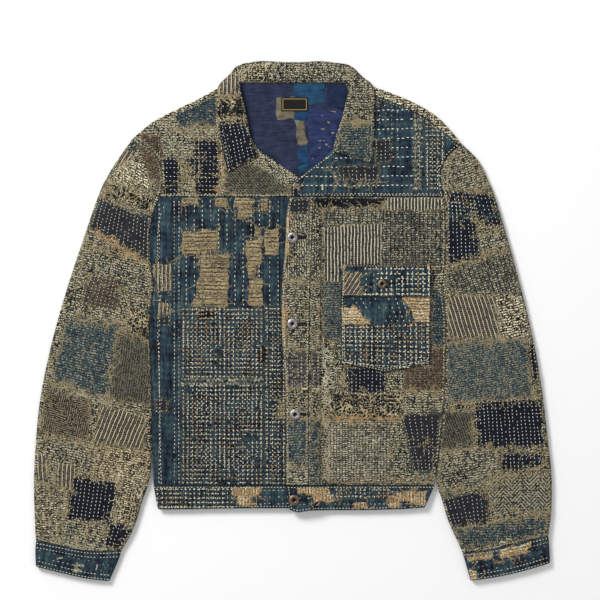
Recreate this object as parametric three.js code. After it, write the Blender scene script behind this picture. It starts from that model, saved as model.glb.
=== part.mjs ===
// A patched jacket of heavily stitched cotton, laid flat on its back with the fronts up.
// X runs towards the wearer's left, Y towards the collar and Z up from the floor.
// All sizes are in millimetres, and the origin is on the floor under the middle of the jacket.
// Right and left are the wearer's: the right side has negative X.

import * as THREE from 'three';

// Driving dimensions
const cloth = 3.0; // a stitched and patched panel
const seamGap = 0.3; // between two pieces that meet at a seam
const layerGap = 0.8; // between two pieces that lie on each other
const bandCloth = 3.8; // the front waistband
const cuffCloth = 3.4;
const pocketCloth = 2.4;
const liningCloth = 1.0;
const labelCloth = 0.8;
const sleeveHeight = 9.2; // both walls of a sleeve and the air between them
const cuffHeight = 9.4;
const edgeRounding = 7.0; // how far in from its edge a sleeve reaches its full height
const crownRise = 2.0; // the fronts lift this much off the back, in from the side seams
const crownReach = 26.0;
const lapRise = 3.7; // the left front lies on the right one at the centre
const lapStart = 28.0;
const lapEnd = 52.0;
const bandLapRise = 4.6; // the same on the waistband
const pleatRise = 1.5; // the folded pleats beside the buttons
const pleatEdge = 1.2;
const yokeSeamY = 186.0;
const bandSeamY = -246.0;
const bandGapY = 0.6;
const buttonRadius = 8.25;
const buttonHeight = 3.2;
const pocketButtonScale = 0.86;

// How each piece is divided
const spanSteps = 6; // points on a curve between two rows of its table
const sideSteps = 12; // rows from the waistband to the armpit
const lowerArmSteps = 7; // rows from the armpit to the yoke seam
const upperArmSteps = 6; // rows from the yoke seam to the shoulder point
const sleeveStations = 20;
const cuffStations = 3;

// Outlines, one row for each point that the curve passes
const rightSide = {
  sign: -1,
  sideSeam: [
    { x: -209, y: -246 },
    { x: -211, y: -179 },
    { x: -211.5, y: -119 },
    { x: -213, y: -59 },
    { x: -214.5, y: -14 },
    { x: -213, y: 19 },
    { x: -208, y: 49 },
  ],
  lowerArmhole: [
    { x: -208, y: 49 },
    { x: -213.5, y: 88 },
    { x: -214.5, y: 128 },
    { x: -210, y: 161 },
    { x: -199, y: 186 },
  ],
  upperArmhole: [
    { x: -199, y: 186 },
    { x: -195, y: 211 },
    { x: -199, y: 238 },
    { x: -214, y: 257 },
    { x: -239, y: 275 },
  ],
  shoulder: [
    { x: -239, y: 275 },
    { x: -206, y: 301 },
    { x: -169, y: 319.5 },
    { x: -133, y: 337.5 },
    { x: -112, y: 349.5 },
  ],
  shoulderEdge: 5,
  neckEdge: [
    { x: 16, y: 186 },
    { x: 16, y: 207 },
    { x: 9, y: 215 },
    { x: -26, y: 238.5 },
    { x: -52, y: 257 },
    { x: -67, y: 280 },
    { x: -74, y: 305 },
    { x: -80, y: 331 },
    { x: -84, y: 348.5 },
  ],
  sleeveInner: [
    { x: -208, y: 49 },
    { x: -213, y: 19 },
    { x: -214.5, y: -14 },
    { x: -213, y: -59 },
    { x: -211.5, y: -119 },
    { x: -211, y: -179 },
    { x: -212.5, y: -224 },
    { x: -217, y: -247 },
    { x: -225, y: -269 },
    { x: -234, y: -299 },
    { x: -245, y: -325 },
    { x: -256.5, y: -343 },
  ],
  sleeveOuter: [
    { x: -239, y: 275 },
    { x: -263, y: 241 },
    { x: -281, y: 211 },
    { x: -294, y: 181 },
    { x: -314.5, y: 121 },
    { x: -334.5, y: 61 },
    { x: -352.5, y: 1 },
    { x: -367.5, y: -59 },
    { x: -379, y: -119 },
    { x: -385, y: -179 },
    { x: -388, y: -239 },
    { x: -387, y: -290 },
    { x: -385, y: -329 },
  ],
  cuffSeam: [
    { x: -256.5, y: -343 },
    { x: -304, y: -344 },
    { x: -349, y: -336 },
    { x: -385, y: -329 },
  ],
  cuffInner: [
    { x: -256.5, y: -343 },
    { x: -262, y: -359 },
    { x: -275, y: -389.3 },
  ],
  cuffOuter: [
    { x: -385, y: -329 },
    { x: -386, y: -347 },
    { x: -385, y: -367.5 },
  ],
  cuffEnd: [
    { x: -275, y: -389.3 },
    { x: -311, y: -385 },
    { x: -349, y: -376.5 },
    { x: -385, y: -367.5 },
  ],
  bandEdge: [
    { x: -209, y: -246 },
    { x: -206.5, y: -265 },
    { x: -202, y: -281 },
  ],
  bandHem: [
    { x: -202, y: -281 },
    { x: -184, y: -282 },
    { x: -94, y: -280.5 },
    { x: 18, y: -280 },
  ],
};

const leftSide = {
  sign: 1,
  sideSeam: [
    { x: 212, y: -246 },
    { x: 221, y: -179 },
    { x: 226.5, y: -119 },
    { x: 228.5, y: -59 },
    { x: 229, y: -14 },
    { x: 227.5, y: 19 },
    { x: 223, y: 49 },
  ],
  lowerArmhole: [
    { x: 223, y: 49 },
    { x: 228, y: 86 },
    { x: 229, y: 124 },
    { x: 228.5, y: 157 },
    { x: 226, y: 186 },
  ],
  upperArmhole: [
    { x: 226, y: 186 },
    { x: 221.5, y: 207 },
    { x: 223, y: 229 },
    { x: 233, y: 248 },
    { x: 253, y: 265 },
  ],
  shoulder: [
    { x: 253, y: 265 },
    { x: 223, y: 300 },
    { x: 190.5, y: 322.5 },
    { x: 145, y: 342.5 },
    { x: 118, y: 351 },
  ],
  shoulderEdge: 12,
  neckEdge: [
    { x: -2, y: 186 },
    { x: -2, y: 204 },
    { x: 5, y: 212 },
    { x: 34, y: 235 },
    { x: 60, y: 256 },
    { x: 72, y: 280 },
    { x: 79, y: 305 },
    { x: 84, y: 331 },
    { x: 88, y: 349 },
  ],
  sleeveInner: [
    { x: 223, y: 49 },
    { x: 227.5, y: 19 },
    { x: 229, y: -14 },
    { x: 228.5, y: -59 },
    { x: 226.5, y: -119 },
    { x: 221, y: -179 },
    { x: 215.5, y: -224 },
    { x: 216, y: -247 },
    { x: 223, y: -269 },
    { x: 232, y: -299 },
    { x: 244, y: -326 },
    { x: 254, y: -347 },
  ],
  sleeveOuter: [
    { x: 253, y: 265 },
    { x: 277, y: 241 },
    { x: 292, y: 211 },
    { x: 304, y: 181 },
    { x: 322, y: 121 },
    { x: 338.5, y: 61 },
    { x: 353.5, y: 1 },
    { x: 366, y: -59 },
    { x: 375, y: -119 },
    { x: 382, y: -179 },
    { x: 387.5, y: -235 },
    { x: 387, y: -284 },
    { x: 382.5, y: -321.5 },
  ],
  cuffSeam: [
    { x: 254, y: -347 },
    { x: 296, y: -342 },
    { x: 341, y: -331.5 },
    { x: 382.5, y: -321.5 },
  ],
  cuffInner: [
    { x: 254, y: -347 },
    { x: 259.5, y: -366 },
    { x: 266, y: -389 },
  ],
  cuffOuter: [
    { x: 382.5, y: -321.5 },
    { x: 384, y: -341 },
    { x: 385, y: -362 },
  ],
  cuffEnd: [
    { x: 266, y: -389 },
    { x: 311, y: -382 },
    { x: 349, y: -373 },
    { x: 385, y: -362 },
  ],
  bandEdge: [
    { x: 212, y: -246 },
    { x: 206, y: -265 },
    { x: 197, y: -279 },
  ],
  bandHem: [
    { x: 197, y: -279 },
    { x: 161, y: -281.5 },
    { x: 101, y: -283 },
    { x: 56, y: -283 },
    { x: 24, y: -283.5 },
    { x: 8, y: -286 },
    { x: -5, y: -282 },
  ],
};

// Long lines on the fronts, from the waistband up to the yoke
const rightFrontEdge = [
  { x: 20, y: -246 },
  { x: 18, y: -60 },
  { x: 18, y: 186 },
];
const rightPleatOuter = [
  { x: -44, y: -246 },
  { x: -43.5, y: 186 },
];
const rightPleatInner = [
  { x: -22, y: -246 },
  { x: -21, y: 186 },
];
const placketEdge = [
  { x: -10, y: -246 },
  { x: -10.5, y: -146 },
  { x: -12, y: -89 },
  { x: -15, y: -47 },
  { x: -17, y: -8 },
  { x: -16.5, y: 46 },
  { x: -14, y: 88 },
  { x: -11, y: 122 },
  { x: -10, y: 157 },
  { x: -4, y: 186 },
];
const placketSeam = [
  { x: 23.4, y: -246 },
  { x: 23.5, y: -140 },
  { x: 24.5, y: -20 },
  { x: 26, y: 60 },
  { x: 28.5, y: 120 },
  { x: 30, y: 186 },
];
const leftPleatLine = [
  { x: 40.5, y: -246 },
  { x: 41, y: -140 },
  { x: 42, y: -20 },
  { x: 43.5, y: 60 },
  { x: 46, y: 120 },
  { x: 48, y: 186 },
];

// Sections of the collar from the right tip round the back of the neck to the left tip.
// Outer is the fall's free edge or the top fold, inner is the roll or the neck seam.
// onYoke is 1 where that edge lies on the yokes and 0 where it lies on the floor.
const collarSections = [
  { outerX: -98, outerY: 222, innerX: -51, innerY: 250, outerOnYoke: 1, innerOnYoke: 1, height: 3.4 },
  { outerX: -104, outerY: 246, innerX: -59, innerY: 264, outerOnYoke: 1, innerOnYoke: 1, height: 4.0 },
  { outerX: -110, outerY: 270, innerX: -65, innerY: 281, outerOnYoke: 1, innerOnYoke: 1, height: 4.6 },
  { outerX: -115, outerY: 296, innerX: -68.5, innerY: 303, outerOnYoke: 1, innerOnYoke: 1, height: 5.0 },
  { outerX: -116, outerY: 322, innerX: -74, innerY: 327, outerOnYoke: 1, innerOnYoke: 1, height: 5.4 },
  { outerX: -115, outerY: 338, innerX: -76, innerY: 337, outerOnYoke: 1, innerOnYoke: 1, height: 5.6 },
  { outerX: -110.5, outerY: 353, innerX: -79, innerY: 346.5, outerOnYoke: 1, innerOnYoke: 1, height: 5.6 },
  { outerX: -97, outerY: 368, innerX: -80.5, innerY: 353, outerOnYoke: 0, innerOnYoke: 1, height: 6.0 },
  { outerX: -81, outerY: 383.5, innerX: -75, innerY: 357, outerOnYoke: 0, innerOnYoke: 0, height: 10.5 },
  { outerX: -49, outerY: 389.3, innerX: -46, innerY: 357, outerOnYoke: 0, innerOnYoke: 0, height: 10.5 },
  { outerX: -19, outerY: 388.4, innerX: -18, innerY: 357, outerOnYoke: 0, innerOnYoke: 0, height: 10.2 },
  { outerX: 11, outerY: 388, innerX: 10, innerY: 357, outerOnYoke: 0, innerOnYoke: 0, height: 10.2 },
  { outerX: 41, outerY: 389.3, innerX: 38, innerY: 357, outerOnYoke: 0, innerOnYoke: 0, height: 10.4 },
  { outerX: 68, outerY: 386.5, innerX: 62, innerY: 357, outerOnYoke: 0, innerOnYoke: 0, height: 10.5 },
  { outerX: 87, outerY: 382, innerX: 79, innerY: 357, outerOnYoke: 0, innerOnYoke: 0, height: 10.5 },
  { outerX: 104, outerY: 366.5, innerX: 84.5, innerY: 353, outerOnYoke: 0, innerOnYoke: 1, height: 6.0 },
  { outerX: 118.5, outerY: 353.5, innerX: 83, innerY: 346.5, outerOnYoke: 1, innerOnYoke: 1, height: 5.6 },
  { outerX: 122.5, outerY: 336, innerX: 80.5, innerY: 334, outerOnYoke: 1, innerOnYoke: 1, height: 5.6 },
  { outerX: 121, outerY: 318, innerX: 77, innerY: 318, outerOnYoke: 1, innerOnYoke: 1, height: 5.2 },
  { outerX: 121.5, outerY: 294, innerX: 71, innerY: 297, outerOnYoke: 1, innerOnYoke: 1, height: 4.8 },
  { outerX: 120.5, outerY: 266, innerX: 64, innerY: 275, outerOnYoke: 1, innerOnYoke: 1, height: 4.2 },
  { outerX: 118.5, outerY: 236, innerX: 59.5, innerY: 254, outerOnYoke: 1, innerOnYoke: 1, height: 3.4 },
];

// Where the neck's lining runs, row by row from under the front lap up to the collar seam
const liningRows = [
  { y: 196, right: -20, left: 32 },
  { y: 216, right: -24, left: 36 },
  { y: 238, right: -44, left: 52 },
  { y: 257, right: -64, left: 72 },
  { y: 280, right: -77, left: 82 },
  { y: 305, right: -82, left: 87 },
  { y: 328, right: -85, left: 91 },
  { y: 345, right: -80, left: 86 },
  { y: 356.2, right: -68, left: 70 },
];
const backNeck = [
  { x: -112, y: 349.5 },
  { x: -84, y: 351.5 },
  { x: 0, y: 352 },
  { x: 88, y: 352 },
  { x: 118, y: 351 },
];

const label = { right: -17.5, left: 22.5, low: 314, high: 335 };

// Chest pocket, with its point at the bottom, and its flap
const pocket = { right: 71.5, left: 205.5, top: 78, corner: -63, pointX: 136.5, pointY: -77 };
const flap = { right: 73, left: 206, top: 84.5, bottom: 36.5 };

const buttons = [
  { name: 'button_front_1', x: -1, y: 125 },
  { name: 'button_front_2', x: -1, y: -4 },
  { name: 'button_front_3', x: 3, y: -139.5 },
];
const bandButton = { name: 'button_front_4', x: 1.5, y: -267 };
const pocketButton = { name: 'button_pocket', x: 133, y: 55.5 };

// The largest soft folds of the upper layer: middle, direction in degrees, length, width, rise
const folds = [
  { x: -262, y: 150, turn: 62, length: 110, width: 20, rise: 0.9 },
  { x: -262, y: 20, turn: 75, length: 120, width: 18, rise: 0.8 },
  { x: -330, y: -70, turn: 115, length: 90, width: 16, rise: 0.8 },
  { x: -262, y: -150, turn: 40, length: 90, width: 16, rise: 0.9 },
  { x: -330, y: -215, turn: 20, length: 80, width: 15, rise: 0.7 },
  { x: -300, y: -290, turn: 100, length: 60, width: 14, rise: 0.8 },
  { x: 275, y: 160, turn: 118, length: 110, width: 20, rise: 0.9 },
  { x: 272, y: 10, turn: 105, length: 120, width: 18, rise: 0.8 },
  { x: 330, y: -60, turn: 66, length: 90, width: 16, rise: 0.8 },
  { x: 275, y: -160, turn: 140, length: 90, width: 16, rise: 0.9 },
  { x: 340, y: -220, turn: 160, length: 80, width: 15, rise: 0.7 },
  { x: 300, y: -290, turn: 80, length: 60, width: 14, rise: 0.8 },
  { x: -150, y: 20, turn: 84, length: 150, width: 26, rise: 0.5 },
  { x: -110, y: -190, turn: 96, length: 110, width: 24, rise: 0.5 },
  { x: 130, y: -170, turn: 92, length: 120, width: 24, rise: 0.5 },
  { x: -165, y: 245, turn: 60, length: 80, width: 20, rise: 0.5 },
  { x: 170, y: 240, turn: 120, length: 80, width: 20, rise: 0.5 },
];

const finishes = {
  indigo: { color: 0x24384c, roughness: 0.95 },
  tweed: { color: 0x6f6a58, roughness: 0.97 },
  lining: { color: 0x2b3a63, roughness: 0.9 },
  label: { color: 0x15140f, roughness: 0.8 },
  silver: { color: 0x8d8c88, roughness: 0.4, metalness: 0.9 },
  copper: { color: 0x6b4a35, roughness: 0.45, metalness: 0.9 },
};

function smooth(rows, steps = (rows.length - 1) * spanSteps) {
  const curve = new THREE.SplineCurve(rows.map((row) => new THREE.Vector2(row.x, row.y)));
  return curve.getSpacedPoints(steps);
}

function straight(rows) {
  return rows.map((row) => new THREE.Vector2(row.x, row.y));
}

// A path's length up to each of its points, as a share of the whole
function shares(path) {
  const sums = [0];
  for (let i = 1; i < path.length; i += 1) {
    sums.push(sums[i - 1] + path[i].distanceTo(path[i - 1]));
  }
  return sums.map((sum) => sum / sums[sums.length - 1]);
}

function pathLength(path) {
  let sum = 0;
  for (let i = 1; i < path.length; i += 1) {
    sum += path[i].distanceTo(path[i - 1]);
  }
  return sum;
}

function pointOn(path, share) {
  const along = shares(path);
  let i = 1;
  while (i < path.length - 1 && along[i] < share) {
    i += 1;
  }
  const part = (share - along[i - 1]) / (along[i] - along[i - 1]);
  return new THREE.Vector2().lerpVectors(path[i - 1], path[i], THREE.MathUtils.clamp(part, 0, 1));
}

// The same path moved to the left of its direction
function shifted(path, distance) {
  return path.map((point, i) => {
    const before = path[Math.max(i - 1, 0)];
    const after = path[Math.min(i + 1, path.length - 1)];
    const along = new THREE.Vector2().subVectors(after, before).normalize();
    return new THREE.Vector2(point.x - along.y * distance, point.y + along.x * distance);
  });
}

function xOnLine(rows, y) {
  const path = smooth(rows);
  let i = 1;
  while (i < path.length - 1 && path[i].y < y) {
    i += 1;
  }
  const part = (y - path[i - 1].y) / (path[i].y - path[i - 1].y);
  return THREE.MathUtils.lerp(path[i - 1].x, path[i].x, THREE.MathUtils.clamp(part, 0, 1));
}

function mergedShares(...lists) {
  const all = lists.flat().sort((a, b) => a - b);
  const least = 0.012;
  const kept = [0];
  for (const share of all) {
    if (share - kept[kept.length - 1] > least && 1 - share > least) {
      kept.push(share);
    }
  }
  kept.push(1);
  return kept;
}

// Points between four boundary paths; bottom and top run with u, right and left with v
function patchPoint(bounds, u, v) {
  const low = pointOn(bounds.low, u);
  const high = pointOn(bounds.high, u);
  const start = pointOn(bounds.start, v);
  const end = pointOn(bounds.end, v);
  const corners = [bounds.low[0], bounds.low.at(-1), bounds.high[0], bounds.high.at(-1)];
  const blend = (axis) =>
    (1 - v) * low[axis] + v * high[axis] + (1 - u) * start[axis] + u * end[axis] -
    (1 - u) * (1 - v) * corners[0][axis] - u * (1 - v) * corners[1][axis] -
    (1 - u) * v * corners[2][axis] - u * v * corners[3][axis];
  return new THREE.Vector2(blend('x'), blend('y'));
}

function patchPlan(bounds, us, vs) {
  return vs.map((v) => us.map((u) => patchPoint(bounds, u, v)));
}

function distanceToPath(x, y, path) {
  let least = Infinity;
  for (let i = 1; i < path.length; i += 1) {
    const from = path[i - 1];
    const to = path[i];
    const dx = to.x - from.x;
    const dy = to.y - from.y;
    const part = ((x - from.x) * dx + (y - from.y) * dy) / (dx * dx + dy * dy);
    const near = THREE.MathUtils.clamp(part, 0, 1);
    least = Math.min(least, Math.hypot(x - from.x - near * dx, y - from.y - near * dy));
  }
  return least;
}

const foldedEdges = [
  smooth(rightSide.sideSeam, sideSteps),
  smooth(leftSide.sideSeam, sideSteps),
  smooth(rightSide.shoulder, sideSteps),
  smooth(leftSide.shoulder, sideSteps),
];

function crownAt(x, y) {
  const distance = Math.min(...foldedEdges.map((path) => distanceToPath(x, y, path)));
  return THREE.MathUtils.smoothstep(distance, 0, crownReach);
}

function foldRise(x, y) {
  let sum = 0;
  for (const fold of folds) {
    const turn = THREE.MathUtils.degToRad(fold.turn);
    const along = (x - fold.x) * Math.cos(turn) + (y - fold.y) * Math.sin(turn);
    const across = -(x - fold.x) * Math.sin(turn) + (y - fold.y) * Math.cos(turn);
    sum += fold.rise * Math.exp(-((across / fold.width) ** 2) - (2 * along / fold.length) ** 4);
  }
  return sum;
}

// Height of the underside of the fronts above the floor
function frontUnder(x, y) {
  const crown = crownAt(x, y);
  return cloth + layerGap + crown * (crownRise + foldRise(x, y));
}

function lapAt(x, rise = lapRise) {
  return rise * (1 - THREE.MathUtils.smoothstep(x, lapStart, lapEnd));
}

function leftFrontUnder(x, y) {
  return frontUnder(x, y) + lapAt(x);
}

// A closed body from points and triangles, turned so that its faces point out
function closedBody(points, triangles) {
  let volume = 0;
  for (const [a, b, c] of triangles) {
    volume += points[a].dot(new THREE.Vector3().crossVectors(points[b], points[c]));
  }
  const turned = volume < 0 ? triangles.map(([a, b, c]) => [a, c, b]) : triangles;
  const geometry = new THREE.BufferGeometry();
  geometry.setAttribute('position', new THREE.Float32BufferAttribute(points.flatMap((p) => p.toArray()), 3));
  geometry.setIndex(turned.flat());
  geometry.computeVertexNormals();
  return geometry;
}

// A sheet from its plan, the height of its underside and its thickness at each point
function sheetBody(plan, under, thickness) {
  const rows = plan.length;
  const columns = plan[0].length;
  const points = [];
  for (const upper of [0, 1]) {
    for (let j = 0; j < rows; j += 1) {
      for (let i = 0; i < columns; i += 1) {
        const { x, y } = plan[j][i];
        points.push(new THREE.Vector3(x, y, under(x, y, i, j) + upper * thickness(x, y, i, j)));
      }
    }
  }
  const at = (upper, j, i) => (upper * rows + j) * columns + i;
  const triangles = [];
  const quad = (a, b, c, d) => triangles.push([a, b, c], [a, c, d]);
  for (let j = 0; j + 1 < rows; j += 1) {
    for (let i = 0; i + 1 < columns; i += 1) {
      quad(at(1, j, i), at(1, j, i + 1), at(1, j + 1, i + 1), at(1, j + 1, i));
      quad(at(0, j, i), at(0, j + 1, i), at(0, j + 1, i + 1), at(0, j, i + 1));
    }
  }
  const rim = [];
  for (let i = 0; i < columns; i += 1) rim.push([0, i]);
  for (let j = 1; j < rows; j += 1) rim.push([j, columns - 1]);
  for (let i = columns - 2; i >= 0; i -= 1) rim.push([rows - 1, i]);
  for (let j = rows - 2; j > 0; j -= 1) rim.push([j, 0]);
  for (let k = 0; k < rim.length; k += 1) {
    const [j, i] = rim[k];
    const [nextJ, nextI] = rim[(k + 1) % rim.length];
    quad(at(0, j, i), at(0, nextJ, nextI), at(1, nextJ, nextI), at(1, j, i));
  }
  return closedBody(points, triangles);
}

// A tube from stations that each hold an outer and an inner ring of the same count
function tubeBody(stations) {
  const count = stations[0].outer.length;
  const points = stations.flatMap((station) => [...station.outer, ...station.inner]);
  const at = (station, inner, k) => (station * 2 + inner) * count + (k % count);
  const triangles = [];
  const quad = (a, b, c, d) => triangles.push([a, b, c], [a, c, d]);
  const last = stations.length - 1;
  for (let k = 0; k < count; k += 1) {
    for (let s = 0; s < last; s += 1) {
      quad(at(s, 0, k), at(s, 0, k + 1), at(s + 1, 0, k + 1), at(s + 1, 0, k));
      quad(at(s, 1, k), at(s + 1, 1, k), at(s + 1, 1, k + 1), at(s, 1, k + 1));
    }
    quad(at(0, 0, k), at(0, 1, k), at(0, 1, k + 1), at(0, 0, k + 1));
    quad(at(last, 0, k), at(last, 0, k + 1), at(last, 1, k + 1), at(last, 1, k));
  }
  return closedBody(points, triangles);
}

// Edges that the panels and the sleeves share
function armholePath(side) {
  const lower = smooth(side.lowerArmhole, lowerArmSteps);
  const upper = smooth(side.upperArmhole, upperArmSteps);
  return [...lower, ...upper.slice(1)];
}

// The body's own edge from the waistband up, moved in by half a seam's gap
function bodyEdge(side, parts) {
  const gap = side.sign * seamGap / 2;
  return shifted(parts.flatMap((part, i) => (i ? part.slice(1) : part)), gap);
}

function backPanel() {
  const edges = [rightSide, leftSide].map((side) => bodyEdge(side, [
    smooth(side.sideSeam, sideSteps),
    smooth(side.lowerArmhole, lowerArmSteps),
    smooth(side.upperArmhole, upperArmSteps),
    smooth(side.shoulder, upperArmSteps),
  ]));
  const columns = [0, 0.1, 0.25, 0.42, 0.58, 0.75, 0.9, 1];
  const rows = edges[0].map((point, j) => columns.map((share) =>
    new THREE.Vector2().lerpVectors(point, edges[1][j], share)));
  const neck = smooth(backNeck);
  rows.push(columns.map((share) => pointOn(neck, share)));
  rows.splice(rows.length - 2, 1);
  return sheetBody(rows, () => 0, () => cloth);
}

// Rows across a front from its side edge to its front edge, with stops at the pleat
function frontPlan(side, frontEdge, stopLines) {
  const edge = bodyEdge(side, [
    smooth(side.sideSeam, sideSteps),
    smooth(side.lowerArmhole, lowerArmSteps),
  ]);
  const sideStops = [0, 6, 14, 26];
  const fillShares = [0.34, 0.67, 1];
  return edge.map((point, j) => {
    const y = j === 0 ? bandSeamY + bandGapY : point.y - (j === edge.length - 1 ? bandGapY : 0);
    const inward = -side.sign;
    const xs = sideStops.map((stop) => point.x + inward * stop);
    const firstStop = xOnLine(stopLines[0].rows, y) + stopLines[0].shift;
    const from = xs[xs.length - 1];
    for (const share of fillShares) {
      xs.push(THREE.MathUtils.lerp(from, firstStop, share));
    }
    for (const line of stopLines.slice(1)) {
      xs.push(xOnLine(line.rows, y) + line.shift);
    }
    xs.push(xOnLine(frontEdge, y) + side.sign * seamGap / 2);
    return xs.map((x) => new THREE.Vector2(x, y));
  });
}

function rightFront() {
  const lines = [
    { rows: rightPleatOuter, shift: -pleatEdge },
    { rows: rightPleatOuter, shift: 0 },
    { rows: rightPleatInner, shift: 0 },
    { rows: rightPleatInner, shift: pleatEdge },
  ];
  const plan = frontPlan(rightSide, rightFrontEdge, lines);
  const firstRaised = plan[0].length - 4;
  const lastRaised = plan[0].length - 3;
  const thick = (x, y, i) => cloth + (i >= firstRaised && i <= lastRaised ? pleatRise : 0);
  return sheetBody(plan, frontUnder, thick);
}

function leftFront() {
  const lines = [
    { rows: leftPleatLine, shift: pleatEdge },
    { rows: leftPleatLine, shift: 0 },
  ];
  const plan = frontPlan(leftSide, placketSeam, lines);
  const firstRaised = plan[0].length - 2;
  const thick = (x, y, i) => cloth + (i >= firstRaised ? pleatRise : 0);
  return sheetBody(plan, leftFrontUnder, thick);
}

function placket() {
  const count = sideSteps + lowerArmSteps;
  const plan = [];
  for (let j = 0; j <= count; j += 1) {
    const y = THREE.MathUtils.lerp(bandSeamY + bandGapY, yokeSeamY - bandGapY, j / count);
    const from = xOnLine(placketEdge, y);
    const to = xOnLine(placketSeam, y) - seamGap / 2;
    plan.push([0, 0.33, 0.67, 1].map((share) => new THREE.Vector2(THREE.MathUtils.lerp(from, to, share), y)));
  }
  return sheetBody(plan, leftFrontUnder, () => cloth);
}

// The shoulder line, from the shoulder point to the neck, and a line that runs beside it
function shoulderLines(side, extra = 0) {
  const fold = shifted(smooth(side.shoulder, sideSteps), side.sign * seamGap);
  const armhole = bodyEdge(side, [smooth(side.upperArmhole, upperArmSteps)]);
  fold[0] = armhole.at(-1).clone();
  const along = shares(fold);
  const widthAt = (share) => side.shoulderEdge * (0.35 + 0.65 * Math.min(1, share * 4)) + extra;
  const beside = fold.map((point, i) => shifted(fold, side.sign * widthAt(along[i]))[i]);
  beside[0] = pointOn(armhole, 1 - widthAt(0) / pathLength(armhole));
  return { fold, beside, armhole };
}

function frontYoke(side, under) {
  const { beside, armhole } = shoulderLines(side, seamGap);
  const neck = straight(side.neckEdge);
  armhole[0].y = yokeSeamY;
  armhole[armhole.length - 1] = beside[0].clone();
  const bounds = { low: [armhole[0], neck[0]], high: [...beside, neck.at(-1)], start: armhole, end: neck };
  const vs = mergedShares(shares(armhole), shares(neck));
  const us = mergedShares([0.05, 0.12, 0.22, 0.34, 0.46, 0.58, 0.7, 0.82, 0.92]);
  return sheetBody(patchPlan(bounds, us, vs), under, () => cloth);
}

function shoulderEdge(side) {
  const { fold, beside } = shoulderLines(side);
  const plan = fold.map((point, j) => [0, 0.5, 1].map((share) =>
    new THREE.Vector2().lerpVectors(point, beside[j], share)));
  return sheetBody(plan, frontUnder, () => cloth);
}

// How a flattened tube closes along its edges: heights of its outer skin by distance inward
function tubeRing(bounds, v, us, height, wall, topRise) {
  const length = patchPoint(bounds, 0, v).distanceTo(patchPoint(bounds, 1, v));
  const closing = (u) => {
    const distance = Math.min(u, 1 - u) * length;
    const part = Math.min(distance / edgeRounding, 1);
    return Math.sqrt(1 - (1 - part) ** 2);
  };
  const ringPoint = (u, upper, inset) => {
    const margin = inset / length;
    const plan = patchPoint(bounds, margin + (1 - 2 * margin) * u, v);
    const rise = closing(u) * topRise(plan.x, plan.y);
    const half = (height / 2 - inset) * closing(u);
    const top = height / 2 + half + rise;
    return new THREE.Vector3(plan.x, plan.y, upper ? top : height / 2 - half);
  };
  const back = us.slice(1, -1).reverse();
  return {
    outer: [...us.map((u) => ringPoint(u, true, 0)), ...back.map((u) => ringPoint(u, false, 0))],
    inner: [...us.map((u) => ringPoint(u, true, wall)), ...back.map((u) => ringPoint(u, false, wall))],
  };
}

function sleeveBounds(side) {
  const gap = side.sign * seamGap;
  const armhole = shifted(armholePath(side), -gap / 2);
  const inner = shifted(smooth(side.sleeveInner), gap * 1.5);
  const outer = smooth(side.sleeveOuter);
  const seam = shifted(smooth(side.cuffSeam), gap / 2);
  inner[0] = armhole[0].clone();
  inner[inner.length - 1] = seam[0].clone();
  outer[0] = armhole.at(-1).clone();
  outer[outer.length - 1] = seam.at(-1).clone();
  return { low: armhole, high: seam, start: inner, end: outer };
}

function sleeveShares(armhole) {
  const length = pathLength(armhole);
  const nearEdge = [1.2, 3.6].map((distance) => distance / length);
  const inner = shares(armhole).slice(1, -1);
  return [0, ...nearEdge, ...inner, ...nearEdge.map((share) => 1 - share).reverse(), 1];
}

function sleeve(side) {
  const bounds = sleeveBounds(side);
  const us = sleeveShares(bounds.low);
  const stations = [];
  for (let s = 0; s <= sleeveStations; s += 1) {
    stations.push(tubeRing(bounds, s / sleeveStations, us, sleeveHeight, cloth, foldRise));
  }
  return tubeBody(stations);
}

function cuff(side) {
  const gap = side.sign * seamGap;
  const seam = shifted(smooth(side.cuffSeam), -gap / 2);
  const end = smooth(side.cuffEnd);
  const bounds = { low: seam, high: end, start: smooth(side.cuffInner), end: smooth(side.cuffOuter) };
  bounds.start[0] = seam[0].clone();
  bounds.end[0] = seam.at(-1).clone();
  const us = [0, 0.012, 0.035, 0.07, 0.2, 0.35, 0.5, 0.65, 0.8, 0.93, 0.965, 0.988, 1];
  const stations = [];
  for (let s = 0; s <= cuffStations; s += 1) {
    stations.push(tubeRing(bounds, s / cuffStations, us, cuffHeight, cuffCloth, () => 0));
  }
  return tubeBody(stations);
}

// Rows from a waistband's lower edge to its seam, between its side edge and its front end
function bandPlan(lowPath, highFrom, highTo, count) {
  const shareList = Array.from({ length: count + 1 }, (_, i) => i / count);
  const low = shareList.map((share) => pointOn(lowPath, share));
  const high = shareList.map((share) => new THREE.Vector2(THREE.MathUtils.lerp(highFrom, highTo, share),
    bandSeamY - bandGapY / 2));
  return [0, 0.2, 0.8, 1].map((v) => low.map((point, i) => new THREE.Vector2().lerpVectors(point, high[i], v)));
}

function rightBand() {
  const plan = bandPlan(smooth(rightSide.bandHem), rightSide.bandEdge[0].x, 20, 12);
  return sheetBody(plan, frontUnder, () => bandCloth);
}

function leftBand() {
  const plan = bandPlan(smooth(leftSide.bandHem), leftSide.bandEdge[0].x, -10, 14);
  return sheetBody(plan, (x, y) => frontUnder(x, y) + lapAt(x, bandLapRise), () => bandCloth);
}

function backBand() {
  const low = [{ x: -202, y: -281 }, { x: -184, y: -281.5 }, { x: -94, y: -280.5 }, { x: 0, y: -280.5 },
    { x: 101, y: -281.5 }, { x: 161, y: -281 }, { x: 197, y: -279 }];
  const plan = bandPlan(smooth(low), rightSide.bandEdge[0].x, leftSide.bandEdge[0].x, 12);
  return sheetBody(plan, () => 0, () => cloth);
}

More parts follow.
